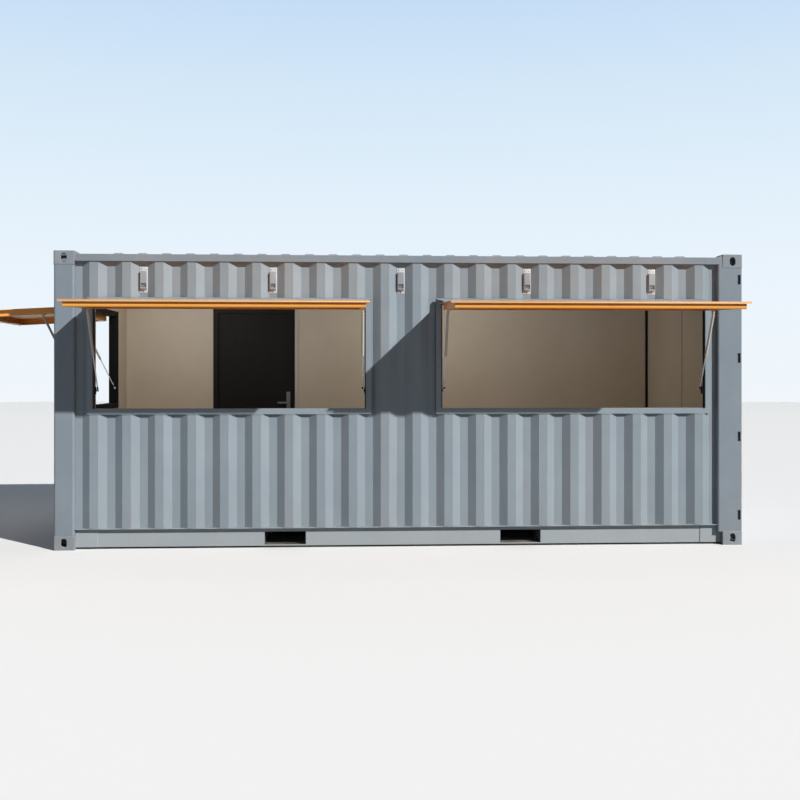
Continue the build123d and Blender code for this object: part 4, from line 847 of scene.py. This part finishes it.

# %% [markdown]
# ## The flap's front moulding and rivets
# The flap's front rail has a rounded moulding pressed into it that catches the sun, and blind rivets hold the liner
# to the frame. The moulding is a flat oval strip let into the rail's face, so it stands less than seven millimetres
# proud and still clears the sill when the flap shuts. A narrow plate makes the folded lip of the outer sheet deeper,
# in a pale orange that is a painted highlight: the sun's glint along the lip's edge.

# %% Front mouldings and liner rivets
flap_gap, rail_width, rivet_inset, rivet_step, skin_deep = 0.008, 0.045, 0.014, 0.15, 0.016
for side, (wall, flap, opening) in hatches.items():
    half, reach = opening / 2 - flap_gap, hinge_up - sill - flap_gap
    moulding = bmesh.new()
    strip(moulding, [(x, -reach + 0.001, -0.0415) for x in (-half + 0.001, half - 0.001)],
          0.038, 0.0155, (0, 1, 0), 16)
    finish_piece(moulding, side + "_flap_moulding", orange_enamel, side + "_flap", place=flap)
    lip = bmesh.new()
    fold_half, fold_reach = opening / 2 + 0.024, hinge_up - sill + 0.018
    plate(lip, (-fold_half, -fold_reach + 0.0008, -0.0180), (fold_half, -fold_reach + 0.0030, -0.0050), 0.0008)
    finish_piece(lip, side + "_flap_lip", lip_highlight_enamel, side + "_flap", place=flap)
    riveted = bmesh.new()
    inside_x = half - rail_width - rivet_inset
    inside_y = (-reach + rail_width + rivet_inset, -skin_deep - rail_width - rivet_inset)
    along = max(3, round(2 * inside_x / rivet_step))
    places = [(-inside_x + 2 * inside_x * count / along, y) for count in range(along + 1) for y in inside_y]
    up = max(3, round((inside_y[1] - inside_y[0]) / rivet_step))
    places += [(x, inside_y[0] + (inside_y[1] - inside_y[0]) * count / up) for count in range(1, up)
               for x in (-inside_x, inside_x)]
    stamp(riveted, rivet, [aim((x, y, -0.0035), (0, 0, -1)) for x, y in places])
    finish_piece(riveted, side + "_flap_rivets", orange_enamel, side + "_flap", place=flap)

# %% [markdown]
# ## Strips and joints inside the cabin
# The lining boards stop short of each other at the cargo end, so black rubber strips close the corners, and a thin
# gap shows where the boards on the two cargo doors meet. A pale cover strip hides the joint beside the door frame,
# and countersunk screws hold the deck to the cross members. Plates with softened edges are all that these need.

# %% Corner strips, the centre joint, the cover strip and the deck screws
deck_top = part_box("floor_deck")[1].z
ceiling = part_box("ceiling_lining")[0].z
lining_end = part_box("cargo_door_lining")[0].x
lining_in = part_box("back_wall_lining")[0].y
corners = bmesh.new()
for hand in (-1, 1):
    across = sorted((hand * lining_in, hand * (lining_in - 0.006)))
    plate(corners, (lining_end - 0.028, across[0], deck_top), (lining_end, across[1], ceiling), 0.001)
plate(corners, (lining_end - 0.0015, -0.004, deck_top), (lining_end, 0.004, ceiling), 0.0)
finish_piece(corners, "inside_corner_strips", seal_rubber, "cabin")
cover_strip_paint = plain_finish("cover_strip_paint", (212, 211, 208), (222, 221, 218), (3, 3, 3), (0.50, 0.62), 0.0,
                                 0.08, 0.002, 0.3)
cover_strip = bmesh.new()
plate(cover_strip, (door_high.x - 0.043, door_low.y - 0.003, door_low.z), (door_high.x, door_low.y, door_high.z), 0.001)
finish_piece(cover_strip, "door_cover_strip", cover_strip_paint, "cabin")
deck_screws = bmesh.new()
first_screw, screw_step, rows, across_count = (-2.755, -1.015), 0.290, 20, 8
for row in range(rows):
    x = first_screw[0] + row * screw_step
    stamp(deck_screws, pan_screw, [aim((x, first_screw[1] + count * screw_step, deck_top - 0.0005), (0, 0, 1))
                                   for count in range(across_count)])
finish_piece(deck_screws, "deck_screws", dark_screw, "cabin")

# %% [markdown]
# ## The personnel door
# The door shuts against a soft seal on the stop of its frame. Its lever plates are held by screws, with a round
# lock cylinder below the handle on both faces. The cylinder is a cone that narrows a little, so that its rim
# catches the light.

# %% Stop seal, lock cylinders and plate screws
leaf_low, leaf_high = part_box("personnel_door")
stop_face = leaf_low.y - 0.006
seal = bmesh.new()
stop_path = [(x, stop_face + 0.003, z) for x, z in ((leaf_low.x, door_low.z + 0.010), (leaf_low.x, leaf_high.z),
                                                    (leaf_high.x, leaf_high.z), (leaf_high.x, door_low.z + 0.010))]
strip(seal, stop_path, 0.008, 0.005, (0, 1, 0), 8)
finish_piece(seal, "door_stop_seal", seal_rubber, "cabin")
lever_x, lever_up = leaf_high.x - 0.068, leaf_low.z + 1.000
lock, plate_screws = bmesh.new(), bmesh.new()
for face, outward in ((leaf_low.y - 0.008, -1), (leaf_high.y + 0.008, 1)):
    stand = aim((lever_x, face, lever_up - 0.072), (0, outward, 0))
    bmesh.ops.create_cone(lock, cap_ends=True, segments=24, radius1=0.0085, radius2=0.0078, depth=0.004,
                          matrix=stand @ Matrix.Translation((0, 0, 0.001)))
    stamp(plate_screws, pan_screw, [aim((lever_x, face, lever_up + up), (0, outward, 0)) for up in (-0.092, 0.114)])
finish_piece(lock, "lock_cylinders", brushed_steel, "personnel_door")
finish_piece(plate_screws, "lever_plate_screws", bolt_zinc, "personnel_door")

# %% [markdown]
# ## The cargo doors
# The cargo end is shut for good. Each leaf has a black gasket round it, four blade hinges bolted on, and two lock
# rods that turn in bolted guides. A sleeve on each rod carries its handle. The gaskets are closed strips; the
# sleeves are spun like the strut glands.

# %% Gaskets, hinge bolts, guide bolts and rod sleeves
gasket_in, gasket_out, gasket_low, gasket_high = 0.0075, 1.167, 0.178, 2.454
hinge_heights, guide_heights = (0.265, 0.966, 1.666, 2.367), (0.671, 1.101, 1.961)
cargo_out, guide_out = 2.9865, 2.9895
gaskets, hinge_bolts, guide_bolts, sleeves = bmesh.new(), bmesh.new(), bmesh.new(), bmesh.new()
for hand in (-1, 1):
    ring = [(cargo_out + 0.001, hand * y, z) for y, z in (
        (gasket_in, gasket_low), (gasket_out, gasket_low), (gasket_out, gasket_high), (gasket_in, gasket_high))]
    strip(gaskets, ring, 0.014, 0.006, (1, 0, 0), 8, closed=True)
    for z in hinge_heights:
        stamp(hinge_bolts, hex_bolt, [aim((2.9945, hand * y, z), (1, 0, 0)) for y in (1.140, 1.085)])
    for y, handle_up in ((0.190, 1.051), (0.760, 1.151)):
        for z in guide_heights:
            stamp(guide_bolts, small_bolt, [aim((guide_out, hand * y + aside, z + up), (1, 0, 0))
                                            for aside in (-0.0315, 0.0315) for up in (-0.014, 0.014)])
        for up in (-0.075, 0.055):
            collar(sleeves, Vector((3.0085, hand * y, handle_up + up)), (0, 0, 1), 0.020,
                   (0.0171, 0.0196, 0.0196, 0.0171))
finish_piece(gaskets, "cargo_door_gaskets", seal_rubber, "cabin")
finish_piece(hinge_bolts, "cargo_hinge_bolts", bolt_zinc, "cabin")
finish_piece(guide_bolts, "rod_guide_bolts", bolt_zinc, "cabin")
finish_piece(sleeves, "lock_rod_sleeves", frame_enamel, "cabin")
